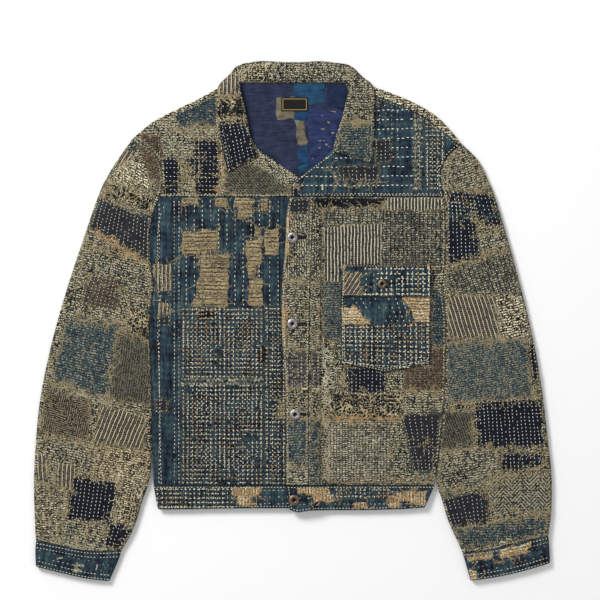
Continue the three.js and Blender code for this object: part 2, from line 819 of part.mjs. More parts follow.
function lining() {
  const shareList = [0, 0.25, 0.5, 0.75, 1];
  const plan = liningRows.map((row) => shareList.map((share) =>
    new THREE.Vector2(THREE.MathUtils.lerp(row.right, row.left, share), row.y)));
  return sheetBody(plan, () => cloth + seamGap, () => liningCloth);
}

function neckLabel() {
  const plan = [label.low, label.high].map((y) => [label.right, label.left].map((x) => new THREE.Vector2(x, y)));
  return sheetBody(plan, () => cloth + seamGap * 2 + liningCloth, () => labelCloth);
}

// The collar's sections: five points across, lowest where it lies and rounded at its edges
function collar() {
  const across = [0, 0.12, 0.4, 0.72, 0.93, 1];
  const plan = collarSections.map((row) => across.map((share) => new THREE.Vector2(
    THREE.MathUtils.lerp(row.outerX, row.innerX, share),
    THREE.MathUtils.lerp(row.outerY, row.innerY, share))));
  const under = (x, y, i, j) => {
    const row = collarSections[j];
    const onYoke = THREE.MathUtils.lerp(row.outerOnYoke, row.innerOnYoke, across[i]);
    return onYoke * (frontUnder(x, y) + cloth + layerGap);
  };
  const thick = (x, y, i, j) => {
    const row = collarSections[j];
    const toRoll = 0.72 + 0.28 * across[i];
    const rounding = i === 0 || i === across.length - 1 ? 0.62 : 1;
    return row.height * toRoll * rounding;
  };
  return sheetBody(plan, under, thick);
}

function chestPocket() {
  const xs = [0, 0.08, 0.25, 0.5, 0.75, 0.92, 1].map((share) => THREE.MathUtils.lerp(pocket.right, pocket.left, share));
  const bottomAt = (x) => {
    const reach = x < pocket.pointX ? pocket.pointX - pocket.right : pocket.left - pocket.pointX;
    return THREE.MathUtils.lerp(pocket.pointY, pocket.corner, Math.abs(x - pocket.pointX) / reach);
  };
  const vs = [0, 0.05, 0.25, 0.5, 0.75, 1];
  const plan = vs.map((v) => xs.map((x) => new THREE.Vector2(x, THREE.MathUtils.lerp(bottomAt(x), pocket.top, v))));
  return sheetBody(plan, (x, y) => leftFrontUnder(x, y) + cloth + layerGap, () => pocketCloth);
}

function pocketFlap() {
  const xs = [0, 0.06, 0.25, 0.5, 0.75, 0.94, 1].map((share) => THREE.MathUtils.lerp(flap.right, flap.left, share));
  const ys = [0, 0.1, 0.5, 0.9, 1].map((share) => THREE.MathUtils.lerp(flap.bottom, flap.top, share));
  const plan = ys.map((y) => xs.map((x) => new THREE.Vector2(x, y)));
  const under = (x, y) => leftFrontUnder(x, y) + cloth + pocketCloth + 2 * layerGap;
  return sheetBody(plan, under, () => pocketCloth);
}

// A tack button: a round ring with a sunk middle
function tackButton(scale = 1) {
  const sections = [
    { radius: 0, height: 0.4 },
    { radius: 0.25, height: 0.42 },
    { radius: 0.33, height: 0.8 },
    { radius: 0.5, height: 1 },
    { radius: 0.74, height: 0.92 },
    { radius: 0.95, height: 0.5 },
    { radius: 1, height: 0.2 },
    { radius: 0.93, height: 0 },
    { radius: 0, height: 0 },
  ];
  const profile = sections.map((row) =>
    new THREE.Vector2(row.radius * buttonRadius * scale, row.height * buttonHeight));
  const geometry = new THREE.LatheGeometry(profile.reverse(), 16);
  geometry.rotateX(Math.PI / 2);
  return geometry;
}

const jacket = new THREE.Group();

function addPiece(name, geometry, finish) {
  const material = new THREE.MeshStandardMaterial(finishes[finish]);
  const mesh = new THREE.Mesh(geometry, material);
  mesh.name = name;
  jacket.add(mesh);
  return mesh;
}

function addButton(row, top, finish, scale) {
  const mesh = addPiece(row.name, tackButton(scale), finish);
  mesh.position.set(row.x, row.y, top + layerGap);
}

addPiece('back', backPanel(), 'tweed');
addPiece('back_lining', lining(), 'lining');
addPiece('neck_label', neckLabel(), 'label');
addPiece('front_right', rightFront(), 'indigo');
addPiece('front_left', leftFront(), 'tweed');
addPiece('placket_left', placket(), 'tweed');
addPiece('yoke_right', frontYoke(rightSide, frontUnder), 'tweed');
addPiece('yoke_left', frontYoke(leftSide, leftFrontUnder), 'indigo');
addPiece('shoulder_edge_right', shoulderEdge(rightSide), 'tweed');
addPiece('shoulder_edge_left', shoulderEdge(leftSide), 'tweed');
addPiece('collar', collar(), 'tweed');
addPiece('chest_pocket', chestPocket(), 'indigo');
addPiece('pocket_flap', pocketFlap(), 'indigo');
addPiece('waistband_right', rightBand(), 'indigo');
addPiece('waistband_left', leftBand(), 'indigo');
addPiece('waistband_back', backBand(), 'indigo');
addPiece('sleeve_right', sleeve(rightSide), 'tweed');
addPiece('sleeve_left', sleeve(leftSide), 'tweed');
addPiece('cuff_right', cuff(rightSide), 'indigo');
addPiece('cuff_left', cuff(leftSide), 'indigo');

for (const row of buttons) {
  addButton(row, leftFrontUnder(row.x, row.y) + cloth, 'silver');
}
const bandTop = frontUnder(bandButton.x, bandButton.y) + bandLapRise + bandCloth;
addButton(bandButton, bandTop, 'copper');
const flapTop = leftFrontUnder(pocketButton.x, pocketButton.y) + cloth + 2 * (pocketCloth + layerGap);
addButton(pocketButton, flapTop, 'copper', pocketButtonScale);

export default jacket;
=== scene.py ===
import math
import random

import bmesh
import bpy
import numpy as np
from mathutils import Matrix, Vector
from mathutils.bvhtree import BVHTree


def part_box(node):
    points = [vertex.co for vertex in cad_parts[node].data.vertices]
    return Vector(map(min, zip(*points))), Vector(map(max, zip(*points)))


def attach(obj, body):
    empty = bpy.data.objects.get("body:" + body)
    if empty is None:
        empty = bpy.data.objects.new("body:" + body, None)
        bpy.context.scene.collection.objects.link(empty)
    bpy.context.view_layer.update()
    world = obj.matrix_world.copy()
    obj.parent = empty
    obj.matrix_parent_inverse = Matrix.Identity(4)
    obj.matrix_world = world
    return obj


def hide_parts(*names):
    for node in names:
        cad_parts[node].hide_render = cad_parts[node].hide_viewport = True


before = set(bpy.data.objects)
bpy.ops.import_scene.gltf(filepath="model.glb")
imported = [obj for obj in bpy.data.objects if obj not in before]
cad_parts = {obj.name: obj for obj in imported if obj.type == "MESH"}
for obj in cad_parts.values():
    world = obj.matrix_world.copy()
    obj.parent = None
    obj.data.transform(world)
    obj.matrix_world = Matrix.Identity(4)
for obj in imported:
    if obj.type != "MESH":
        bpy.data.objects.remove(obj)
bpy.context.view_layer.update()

# A patched jacket laid flat on its back. Shapes are worked out in millimetres, x to the wearer's
# left and y towards the collar, and a mesh is turned to metres when it is made.
# Right and left are the wearer's, so the picture's left is the wearer's right.

mm = 0.001
fullTurn = 6.283                 # radians

jacket = {
    "cloth": 3.0,                # thickness of a patched panel
    "layerGap": 0.8,             # between two layers that lie on each other
    "seamGap": 0.3,
    "bandCloth": 3.8,
    "cuffCloth": 3.4,
    "pocketCloth": 2.4,
    "liningCloth": 1.0,
    "labelCloth": 0.8,
    "liningGap": 0.35,           # between the lining and the back
    "labelGap": 0.3,
    "liningUneven": 0.12,
    "sleeveHeight": 9.2,
    "cuffHeight": 9.4,
    "cuffUneven": 0.25,
    "edgeRounding": 7.0,         # how far in from its edge a sleeve reaches its height
    "crownRise": 2.0,
    "crownReach": 26.0,
    "lapRise": 3.7,
    "bandLapRise": 4.6,
    "lapStart": 28.0,
    "lapEnd": 52.0,
    "pleatRise": 1.5,
    "pleatSlope": 1.2,           # how wide the step of a pleat is
    "yokeLine": 186,             # where the fronts meet the yokes
    "bandLine": -246,            # where the fronts meet the waistband
    "frontGap": 0.6,             # between a front and the seams above and below it
    "meshStep": 3.6,             # spacing of the cloth meshes
    "tubeStep": 4.6,
    "curveSteps": 16,            # from one point of an outline to the next
    "rim": 1.5,                  # how far in a cut edge is rounded
    "weld": 0.02,                # points closer than this are one
}
# Share of the creases' rise, rise and size of the ripples, and the most that both lift a front
uneven = {"creases": 1.1, "rise": 0.3, "size": 30, "most": 1.0}

picture = {"middleX": 292.5, "middleY": 320.5, "scale": 1.5}   # pixels to millimetres

rightSide = {
    "sign": -1,
    "sideSeam": [
        (-209, -246), (-211, -179), (-211.5, -119), (-213, -59), (-214.5, -14), (-213, 19), (-208, 49),
    ],
    "lowerArmhole": [(-208, 49), (-213.5, 88), (-214.5, 128), (-210, 161), (-199, 186)],
    "upperArmhole": [(-199, 186), (-195, 211), (-199, 238), (-214, 257), (-239, 275)],
    "shoulder": [(-239, 275), (-206, 301), (-169, 319.5), (-133, 337.5), (-112, 349.5)],
    "shoulderEdge": 5,
    "neckEdge": [
        (16, 186), (16, 207), (9, 215), (-26, 238.5), (-52, 257), (-67, 280), (-74, 305), (-80, 331),
        (-84, 348.5),
    ],
    "sleeveInner": [
        (-208, 49), (-213, 19), (-214.5, -14), (-213, -59), (-211.5, -119), (-211, -179), (-212.5, -224),
        (-217, -247), (-225, -269), (-234, -299), (-245, -325), (-256.5, -343),
    ],
    "sleeveOuter": [
        (-239, 275), (-263, 241), (-281, 211), (-294, 181), (-314.5, 121), (-334.5, 61), (-352.5, 1),
        (-367.5, -59), (-379, -119), (-385, -179), (-388, -239), (-387, -290), (-385, -329),
    ],
    "cuffSeam": [(-256.5, -343), (-304, -344), (-349, -336), (-385, -329)],
    "cuffInner": [(-256.5, -343), (-262, -359), (-275, -389.3)],
    "cuffOuter": [(-385, -329), (-386, -347), (-385, -367.5)],
    "cuffEnd": [(-275, -389.3), (-311, -385), (-349, -376.5), (-385, -367.5)],
    "bandTop": [(-209, -246.3), (20, -246.3)],
    "bandHem": [(-202, -281), (-184, -282), (-94, -280.5), (18, -280)],
}
leftSide = {
    "sign": 1,
    "sideSeam": [
        (212, -246), (221, -179), (226.5, -119), (228.5, -59), (229, -14), (227.5, 19), (223, 49),
    ],
    "lowerArmhole": [(223, 49), (228, 86), (229, 124), (228.5, 157), (226, 186)],
    "upperArmhole": [(226, 186), (221.5, 207), (223, 229), (233, 248), (253, 265)],
    "shoulder": [(253, 265), (223, 300), (190.5, 322.5), (145, 342.5), (118, 351)], "shoulderEdge": 12,
    "neckEdge": [
        (-2, 186), (-2, 204), (5, 212), (34, 235), (60, 256), (72, 280), (79, 305), (84, 331), (88, 349),
    ],
    "sleeveInner": [
        (223, 49), (227.5, 19), (229, -14), (228.5, -59), (226.5, -119), (221, -179), (215.5, -224),
        (216, -247), (223, -269), (232, -299), (244, -326), (254, -347),
    ],
    "sleeveOuter": [
        (253, 265), (277, 241), (292, 211), (304, 181), (322, 121), (338.5, 61), (353.5, 1), (366, -59),
        (375, -119), (382, -179), (387.5, -235), (387, -284), (382.5, -321.5),
    ],
    "cuffSeam": [(254, -347), (296, -342), (341, -331.5), (382.5, -321.5)],
    "cuffInner": [(254, -347), (259.5, -366), (266, -389)],
    "cuffOuter": [(382.5, -321.5), (384, -341), (385, -362)],
    "cuffEnd": [(266, -389), (311, -382), (349, -373), (385, -362)],
    "bandTop": [(212, -246.3), (-10, -246.3)],
    "bandHem": [(197, -279), (161, -281.5), (101, -283), (56, -283), (24, -283.5), (8, -286), (-5, -282)],
}
rightFrontEdge = [(20, -246), (18, -60), (18, 186)]
placketEdge = [
    (-10, -246), (-10.5, -146), (-12, -89), (-15, -47), (-17, -8), (-16.5, 46), (-14, 88), (-11, 122),
    (-10, 157), (-4, 186),
]
placketSeam = [(23.4, -246), (23.5, -140), (24.5, -20), (26, 60), (28.5, 120), (30, 186)]
rightPleat = {"outer": [(-44, -246), (-43.5, 186)], "inner": [(-22, -246), (-21, 186)]}
leftPleat = [(40.5, -246), (41, -140), (42, -20), (43.5, 60), (46, 120), (48, 186)]

# From the right tip round the neck to the left tip: outer edge, inner edge or roll, whether each lies
# on the yoke, and height
collarRows = [
    (-98, 222, -51, 250, 1, 1, 3.4), (-104, 246, -59, 264, 1, 1, 4.0), (-110, 270, -65, 281, 1, 1, 4.6),
    (-115, 296, -68.5, 303, 1, 1, 5.0), (-116, 322, -74, 327, 1, 1, 5.4),
    (-115, 338, -76, 337, 1, 1, 5.6), (-110.5, 353, -79, 346.5, 1, 1, 5.6),
    (-97, 368, -80.5, 353, 0, 1, 6.0), (-81, 383.5, -75, 357, 0, 0, 10.5),
    (-49, 389.3, -46, 357, 0, 0, 10.5), (-19, 388.4, -18, 357, 0, 0, 10.2),
    (11, 388, 10, 357, 0, 0, 10.2), (41, 389.3, 38, 357, 0, 0, 10.4), (68, 386.5, 62, 357, 0, 0, 10.5),
    (87, 382, 79, 357, 0, 0, 10.5), (104, 366.5, 84.5, 353, 0, 1, 6.0),
    (118.5, 353.5, 83, 346.5, 1, 1, 5.6), (122.5, 336, 80.5, 334, 1, 1, 5.6),
    (121, 318, 77, 318, 1, 1, 5.2), (121.5, 294, 71, 297, 1, 1, 4.8), (120.5, 266, 64, 275, 1, 1, 4.2),
    (118.5, 236, 59.5, 254, 1, 1, 3.4),
]
liningRows = [
    (196, -20, 32), (216, -24, 36), (238, -44, 52), (257, -64, 72), (280, -77, 82), (305, -82, 87),
    (328, -85, 91), (345, -84, 90), (356.2, -81, 85),
]
backNeck = [(-112, 349.5), (-84, 351.5), (0, 352), (88, 352), (118, 351)]
label = {"right": -17.5, "left": 22.5, "low": 314, "high": 335}
pocket = {"right": 71.5, "left": 205.5, "top": 78, "corner": -63, "pointX": 136.5, "pointY": -77}
flap = {"right": 73, "left": 206, "top": 84.5, "bottom": 36.5}

# Soft folds and creases: middle, direction in degrees, length, width and rise
softFolds = [
    (-262, 150, 62, 110, 20, 0.9), (-262, 20, 75, 120, 18, 0.8), (-330, -70, 115, 90, 16, 0.8),
    (-262, -150, 40, 90, 16, 0.9), (-330, -215, 20, 80, 15, 0.7), (-300, -290, 100, 60, 14, 0.8),
    (275, 160, 118, 110, 20, 0.9), (272, 10, 105, 120, 18, 0.8), (330, -60, 66, 90, 16, 0.8),
    (275, -160, 140, 90, 16, 0.9), (340, -220, 160, 80, 15, 0.7), (300, -290, 80, 60, 14, 0.8),
    (-150, 20, 84, 150, 26, 0.5), (-110, -190, 96, 110, 24, 0.5), (130, -170, 92, 120, 24, 0.5),
    (-165, 245, 60, 80, 20, 0.5), (170, 240, 120, 80, 20, 0.5),
]
creases = [
    (-232, 88, 150, 60, 5, -0.7), (-240, 52, 20, 70, 6, -0.8), (-250, 8, 8, 90, 6, 0.7),
    (-296, -12, 172, 80, 5, -0.6), (-240, -62, 160, 60, 6, -0.7), (-262, -100, 25, 90, 6, 0.7),
    (-330, -128, 10, 70, 5, -0.7), (-250, -176, 150, 70, 6, -0.8), (-300, -196, 35, 80, 6, 0.7),
    (-352, -246, 60, 60, 5, -0.6), (-270, -252, 20, 80, 6, -0.8), (-320, -300, 170, 70, 5, 0.7),
    (-262, -318, 110, 50, 5, -0.6), (-226, 214, 70, 70, 6, -0.6), (-286, 100, 100, 90, 6, -0.5),
    (244, 92, 30, 60, 5, -0.7), (256, 52, 160, 70, 6, -0.8), (262, 4, 172, 90, 6, 0.7),
    (318, -8, 12, 80, 5, -0.6), (252, -66, 22, 60, 6, -0.7), (276, -104, 155, 90, 6, 0.7),
    (338, -124, 168, 70, 5, -0.7), (248, -180, 30, 70, 6, -0.8), (302, -200, 145, 80, 6, 0.7),
    (352, -250, 118, 60, 5, -0.6), (268, -256, 160, 80, 6, -0.8), (322, -296, 12, 70, 5, 0.7),
    (262, -322, 70, 50, 5, -0.6), (248, 210, 112, 70, 6, -0.6), (298, 106, 82, 90, 6, -0.5),
    (-182, 60, 95, 120, 7, -0.4), (-128, 128, 88, 90, 6, -0.35), (-90, -60, 92, 140, 7, 0.4),
    (-196, -120, 80, 90, 7, -0.5), (-140, -206, 84, 70, 6, -0.5), (-84, -216, 98, 60, 6, -0.5),
    (-188, -214, 92, 60, 6, 0.45), (206, -60, 92, 130, 7, -0.45), (60, -40, 88, 150, 7, 0.4),
    (186, -190, 96, 80, 7, -0.5), (96, -212, 86, 70, 6, -0.5), (150, -220, 92, 50, 6, 0.45),
    (-120, 232, 40, 80, 7, -0.4), (120, 226, 140, 90, 7, -0.4), (178, 268, 120, 70, 6, 0.35),
    (-172, 276, 62, 70, 6, 0.35),
]

# Curves and surfaces

def pathLength(path):
    return float(np.hypot(*np.diff(path, axis=0).T).sum())


def pointsOn(path, shares):
    sums = np.concatenate([[0], np.cumsum(np.hypot(*np.diff(path, axis=0).T))])
    at = np.asarray(shares, float) * sums[-1]
    return np.stack([np.interp(at, sums, path[:, 0]), np.interp(at, sums, path[:, 1])], -1)


def rowsAt(rows, t):             # on a smooth curve through the rows, where t counts them
    rows = np.array(rows, float)
    rim = np.vstack([rows[:1], rows, rows[-1:]])
    i = np.clip(np.floor(t).astype(int), 0, len(rows) - 2)
    f = (t - i)[:, None]
    p0, p1, p2, p3 = rim[i], rim[i + 1], rim[i + 2], rim[i + 3]
    return 0.5 * (2 * p1 + (p2 - p0) * f + (2 * p0 - 5 * p1 + 4 * p2 - p3) * f ** 2
                  + (3 * p1 - p0 - 3 * p2 + p3) * f ** 3)


def smoothPath(rows, count=60):
    t = np.arange((len(rows) - 1) * jacket["curveSteps"] + 1) / jacket["curveSteps"]
    return pointsOn(rowsAt(rows, t), np.linspace(0, 1, count + 1))


def joined(*paths):
    return np.vstack([path if i == 0 else path[1:] for i, path in enumerate(paths)])


def shifted(path, distance):     # to the left of the path's direction
    along = np.gradient(path, axis=0)
    along /= np.hypot(along[:, 0], along[:, 1])[:, None]
    return path + np.stack([-along[:, 1], along[:, 0]], -1) * distance


def xOnLine(rows, y):
    path = smoothPath(rows)
    order = np.argsort(path[:, 1])
    return np.interp(y, path[order, 1], path[order, 0])


def distanceTo(path, x, y):
    start, step = path[:-1], np.diff(path, axis=0)
    dx, dy = x[..., None] - start[:, 0], y[..., None] - start[:, 1]
    part = np.clip((dx * step[:, 0] + dy * step[:, 1]) / (step ** 2).sum(1), 0, 1)
    return np.hypot(dx - part * step[:, 0], dy - part * step[:, 1]).min(-1)


# A panel has four edges. low and high run from start to end, and start and end from low to high.
def fourEdges(start, end, low=None, high=None):
    start, end = np.array(start, float), np.array(end, float)
    low = np.array([start[0], end[0]] if low is None else low, float)
    high = np.array([start[-1], end[-1]] if high is None else high, float)
    return {"low": low, "high": high, "start": start, "end": end}


def boxEdges(x0, y0, x1, y1):
    return fourEdges([(x0, y0), (x0, y1)], [(x1, y0), (x1, y1)])


def lengthsOf(bounds, pick=max):
    pairs = (("low", "high"), ("start", "end"))
    return [pick(pathLength(bounds[here]), pathLength(bounds[there])) for here, there in pairs]


def between(bounds, u, v):
    low, high = pointsOn(bounds["low"], u), pointsOn(bounds["high"], u)
    start, end = pointsOn(bounds["start"], v), pointsOn(bounds["end"], v)
    u, v = u[..., None], v[..., None]
    corners = ((1 - u) * (1 - v) * bounds["low"][0] + u * (1 - v) * bounds["low"][-1]
               + (1 - u) * v * bounds["high"][0] + u * v * bounds["high"][-1])
    return (1 - v) * low + v * high + (1 - u) * start + u * end - corners


def smoothstep(x, low, high):
    t = np.clip((x - low) / (high - low), 0, 1)
    return t * t * (3 - 2 * t)


def ripple(x, y, scale, seed):   # soft uneven noise, mostly from -1 to 1
    waves, spread = 7, 3.4
    turn = np.random.RandomState(seed)
    total = np.zeros(np.shape(x))
    for _ in range(waves):
        angle, phase = turn.uniform(0, fullTurn), turn.uniform(0, fullTurn)
        size = scale * turn.uniform(0.6, 1.6)
        total = total + np.sin((x * math.cos(angle) + y * math.sin(angle)) * fullTurn / size + phase)
    return total / spread


foldedEdges = [smoothPath(side[part]) for side in (rightSide, leftSide) for part in ("sideSeam", "shoulder")]


def crownAt(x, y):               # 0 at the folded edges, 1 inside
    away = np.minimum.reduce([distanceTo(path, x, y) for path in foldedEdges])
    return smoothstep(away, 0, jacket["crownReach"])


def risesAt(x, y, rows):
    total = np.zeros(np.shape(x))
    for foldX, foldY, turn, length, width, rise in rows:
        c, s = math.cos(math.radians(turn)), math.sin(math.radians(turn))
        along, across = (x - foldX) * c + (y - foldY) * s, -(x - foldX) * s + (y - foldY) * c
        bend = across + width * 0.6 * np.sin(along / length * 4.2 + foldX)
        total = total + rise * np.exp(-(bend / width) ** 2 - (2 * along / length) ** 4)
    return total


def creasesAt(x, y):
    return uneven["creases"] * risesAt(x, y, creases) + uneven["rise"] * ripple(x, y, uneven["size"], 7)


def reliefAt(x, y):
    return risesAt(x, y, softFolds) + creasesAt(x, y)


def onFloor(x, y):
    return 0 * x


def frontUnder(x, y):
    relief = risesAt(x, y, softFolds) + np.clip(creasesAt(x, y), -uneven["most"], uneven["most"])
    return jacket["cloth"] + jacket["layerGap"] + crownAt(x, y) * (jacket["crownRise"] + relief)


def lapAt(x, rise):
    return rise * (1 - smoothstep(x, jacket["lapStart"], jacket["lapEnd"]))


def leftUnder(x, y):
    return frontUnder(x, y) + lapAt(x, jacket["lapRise"])


def bandLapUnder(x, y):
    return frontUnder(x, y) + lapAt(x, jacket["bandLapRise"])


def pocketUnder(x, y):
    return leftUnder(x, y) + jacket["cloth"] + jacket["layerGap"]


def flapUnder(x, y):
    return leftUnder(x, y) + jacket["cloth"] + jacket["pocketCloth"] + 2 * jacket["layerGap"]


# Cloth panels

panels, panelBounds = {}, {}     # by the name of the solid that each stands for
shortNames = {"placket_left": "placket", "chest_pocket": "pocket", "pocket_flap": "flap",
              "back_lining": "lining", "neck_label": "label"}


def stops(length, step, rim):    # shares along an edge, close together near its ends
    near = [0, rim * 0.12, rim * 0.4, rim]
    count = max(2, round((length - 2 * rim) / step))
    inner = np.linspace(rim, length - rim, count + 1)[1:-1]
    return np.concatenate([near, inner, [length - d for d in reversed(near)]]) / length


def addGrid(mesh, rows, columns):
    made = bmesh.ops.create_grid(mesh, x_segments=columns - 1, y_segments=rows - 1, size=1)["verts"]
    return [(vert, round((vert.co.y + 1) / 2 * (rows - 1)), round((vert.co.x + 1) / 2 * (columns - 1)))
            for vert in made]


def layGrid(mesh, plan, height):
    for vert, j, i in addGrid(mesh, *height.shape):
        vert.co = Vector((plan[j, i, 0], plan[j, i, 1], height[j, i])) * mm


def closeMesh(mesh):
    bmesh.ops.remove_doubles(mesh, verts=mesh.verts[:], dist=jacket["weld"] * mm)
    bmesh.ops.recalc_face_normals(mesh, faces=mesh.faces[:])


def addPiece(name, data):
    piece = bpy.data.objects.new(name, data)
    bpy.context.scene.collection.objects.link(piece)
    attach(piece, "root")
    return piece


def finishMesh(name, mesh, materials, grain=0.0):
    data = bpy.data.meshes.new(name)
    if mesh.loops.layers.uv.get("weave") is None:
        layer = mesh.loops.layers.uv.new("weave")
        c, s = math.cos(math.radians(grain)), math.sin(math.radians(grain))
        for face in mesh.faces:
            for loop in face.loops:
                x, y, z = loop.vert.co
                loop[layer].uv = (x * c + y * s, y * c - x * s)
    for face in mesh.faces:
        face.smooth = True
    mesh.to_mesh(data)
    mesh.free()
    for key, value in (("tone", 0.5), ("wear", 0.0)):
        if key not in data.attributes:
            values = data.attributes.new(key, "FLOAT", "POINT")
            values.data.foreach_set("value", np.full(len(data.vertices), value, np.float32))
    for material in materials:
        data.materials.append(material)
    return addPiece(name, data)


def keepShell(node, mesh, bounds, cloth, grain=0):
    closeMesh(mesh)
    panels[node] = finishMesh(shortNames.get(node, node) + "_cloth", mesh, [clothMaterials[cloth]], grain)
    panelBounds[node] = bounds
    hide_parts(node)


def insideEdges(u, v, lengthU, lengthV):
    return np.minimum(np.minimum(u, 1 - u) * lengthU, np.minimum(v, 1 - v) * lengthV)


def roundEdge(part):             # the height of a round edge: part is 0 at the edge and 1 inside
    return np.sqrt(np.clip(1 - (1 - np.minimum(part, 1)) ** 2, 0, 1))


def clothShell(node, bounds, under, thick, cloth, rim=jacket["rim"], step=jacket["meshStep"]):
    lengthU, lengthV = lengthsOf(bounds)
    us, vs = stops(lengthU, step, rim), stops(lengthV, step, rim)
    if "extra" in bounds:
        us = np.unique(np.round(np.concatenate([us, bounds["extra"]]), 6))
    u, v = np.meshgrid(us, vs)
    plan = between(bounds, u, v)
    rounding = roundEdge(insideEdges(u, v, lengthU, lengthV) / rim)
    x, y = plan[..., 0], plan[..., 1]
    thickness = thick(x, y) if callable(thick) else np.full(x.shape, thick)
    middle = under(x, y) + thickness / 2
    mesh = bmesh.new()
    for side in (1, -1):
        layGrid(mesh, plan, middle + side * rounding * thickness / 2)
    keepShell(node, mesh, bounds, cloth)


def tubeShell(node, bounds, height, wall, rise, cloth, grain):
    step, rounding = jacket["tubeStep"], jacket["edgeRounding"]
    lengthU, lengthV = lengthsOf(bounds)
    near = np.array([0, 0.25, 1.0, 2.4, 4.4, rounding])
    inner = np.linspace(rounding, lengthU - rounding, int((lengthU - 2 * rounding) / step) + 1)[1:-1]
    us = np.concatenate([near, inner, lengthU - near[::-1]]) / lengthU
    u, v = np.meshgrid(us, stops(lengthV, step, wall / 2))
    ends = roundEdge(np.minimum(v, 1 - v) * lengthV / (wall / 2))
    closing = roundEdge(np.minimum(u, 1 - u) * lengthU / rounding)
    mesh = bmesh.new()
    for inset in (0, wall):
        depth = wall / 2 + (inset - wall / 2) * ends        # the two walls meet at the open ends
        margin = depth / lengthU
        plan = between(bounds, margin + (1 - 2 * margin) * u, v)
        for side in (1, -1):
            lift = closing * rise(plan[..., 0], plan[..., 1]) if side > 0 else 0
            layGrid(mesh, plan, height / 2 + side * (height / 2 - depth) * closing + lift)
    keepShell(node, mesh, bounds, cloth, grain)


# Shader nodes

def mathsMethod(operation, reflected=False):
    def act(self, other=None):
        values = [self] if other is None else [other, self] if reflected else [self, other]
        return self.maths(operation, *values)
    return act


class Signal:                    # one socket, with the operators that shader maths needs
    __add__, __radd__ = mathsMethod("ADD"), mathsMethod("ADD", True)
    __sub__, __rsub__ = mathsMethod("SUBTRACT"), mathsMethod("SUBTRACT", True)
    __mul__, __rmul__ = mathsMethod("MULTIPLY"), mathsMethod("MULTIPLY", True)
    __truediv__, __rtruediv__ = mathsMethod("DIVIDE"), mathsMethod("DIVIDE", True)
    __gt__, __lt__ = mathsMethod("GREATER_THAN"), mathsMethod("LESS_THAN")
    most, least = mathsMethod("MAXIMUM"), mathsMethod("MINIMUM")
    floor, fract = mathsMethod("FLOOR"), mathsMethod("FRACT")
    size, sine = mathsMethod("ABSOLUTE"), mathsMethod("SINE")

    def __init__(self, tree, socket=None):
        self.tree, self.socket = tree, socket

    def make(self, kind, settings=None, sockets=None, output=0):
        node = self.tree.nodes.new(kind)
        for key, value in (settings or {}).items():
            if key == "stops":
                ramp = node.color_ramp
                while len(ramp.elements) < len(value):
                    ramp.elements.new(0.5)
                for stop, (position, colour) in zip(ramp.elements, value):
                    stop.position, stop.color = position, (*colour, 1)
            else:
                setattr(node, key, value)
        self.feed(node, sockets or {})
        return Signal(self.tree, node.outputs[output])

    def feed(self, node, sockets):       # links a signal, and sets a plain value on the socket itself
        for key, value in sockets.items():
            if isinstance(value, Signal):
                self.tree.links.new(value.socket, node.inputs[key])
            else:
                node.inputs[key].default_value = value

    def maths(self, operation, *values):
        return self.make("ShaderNodeMath", {"operation": operation}, dict(enumerate(values)))

    def ease(self, low, high):
        return self.make("ShaderNodeMapRange", {"interpolation_type": "SMOOTHSTEP"},
                         {0: self, 1: low, 2: high, 3: 0.0, 4: 1.0})

    def point(self, x, y, z=0.0):
        return self.make("ShaderNodeCombineXYZ", {}, {0: x, 1: y, 2: z})

    def millimetres(self, place, count=2):
        return [self.make("ShaderNodeSeparateXYZ", {}, {0: place}, k) * 1000 for k in range(count)]

    def weavePlace(self):
        return self.millimetres(self.make("ShaderNodeUVMap", {"uv_map": "weave"}))

    def objectPlace(self, count=2):
        return self.millimetres(self.make("ShaderNodeTexCoord", {}, {}, 3), count)

    def noise(self, x, y, detail=2.0, seed=0.0):
        sockets = {"Vector": self.point(x, y, seed), "Scale": 1.0, "Detail": detail, "Roughness": 0.55}
        return self.make("ShaderNodeTexNoise", {"noise_dimensions": "3D"}, sockets)

    def chance(self, x, y=0.0, seed=0.0):
        sockets = {"Vector": self.point(x, y, seed)}
        return self.make("ShaderNodeTexWhiteNoise", {"noise_dimensions": "3D"}, sockets)

    def colour(self, factor, first, second):
        return self.make("ShaderNodeMix", {"data_type": "RGBA"},
                         {0: factor, 6: asColour(first), 7: asColour(second)}, 2)

    def attribute(self, name):
        return self.make("ShaderNodeAttribute", {"attribute_type": "GEOMETRY", "attribute_name": name}, {}, 2)

    def bump(self, height, strength, distance):
        return self.make("ShaderNodeBump", {}, {"Strength": strength, "Distance": distance, "Height": height})


def asColour(value):
    return value if isinstance(value, Signal) else (*value, 1)


def scaled(colour, amount):
    return tuple(part * amount for part in colour)


def startMaterial(name):
    material = bpy.data.materials.new(name)
    material.use_nodes = True
    return material, Signal(material.node_tree)


def endMaterial(material, new, sockets):
    new.feed(material.node_tree.nodes["Principled BSDF"], sockets)
    return material


dyes = {
    "black": (0.004, 0.004, 0.006), "night": (0.007, 0.010, 0.018), "navy": (0.012, 0.020, 0.034),
    "indigo": (0.018, 0.036, 0.052), "teal": (0.032, 0.062, 0.074), "paleTeal": (0.085, 0.125, 0.120),
    "charcoal": (0.020, 0.020, 0.023), "greyGreen": (0.110, 0.120, 0.098), "olive": (0.040, 0.043, 0.032),
    "brown": (0.062, 0.047, 0.033), "mauve": (0.064, 0.057, 0.058), "tan": (0.170, 0.155, 0.108),
    "bran": (0.155, 0.134, 0.084), "wheat": (0.29, 0.22, 0.12), "straw": (0.44, 0.355, 0.20),
    "beige": (0.31, 0.27, 0.175), "sand": (0.50, 0.455, 0.31), "corn": (0.68, 0.57, 0.36),
    "cream": (0.80, 0.74, 0.54), "white": (0.90, 0.90, 0.82), "orange": (0.62, 0.39, 0.18),
    "rust": (0.13, 0.060, 0.028),
}

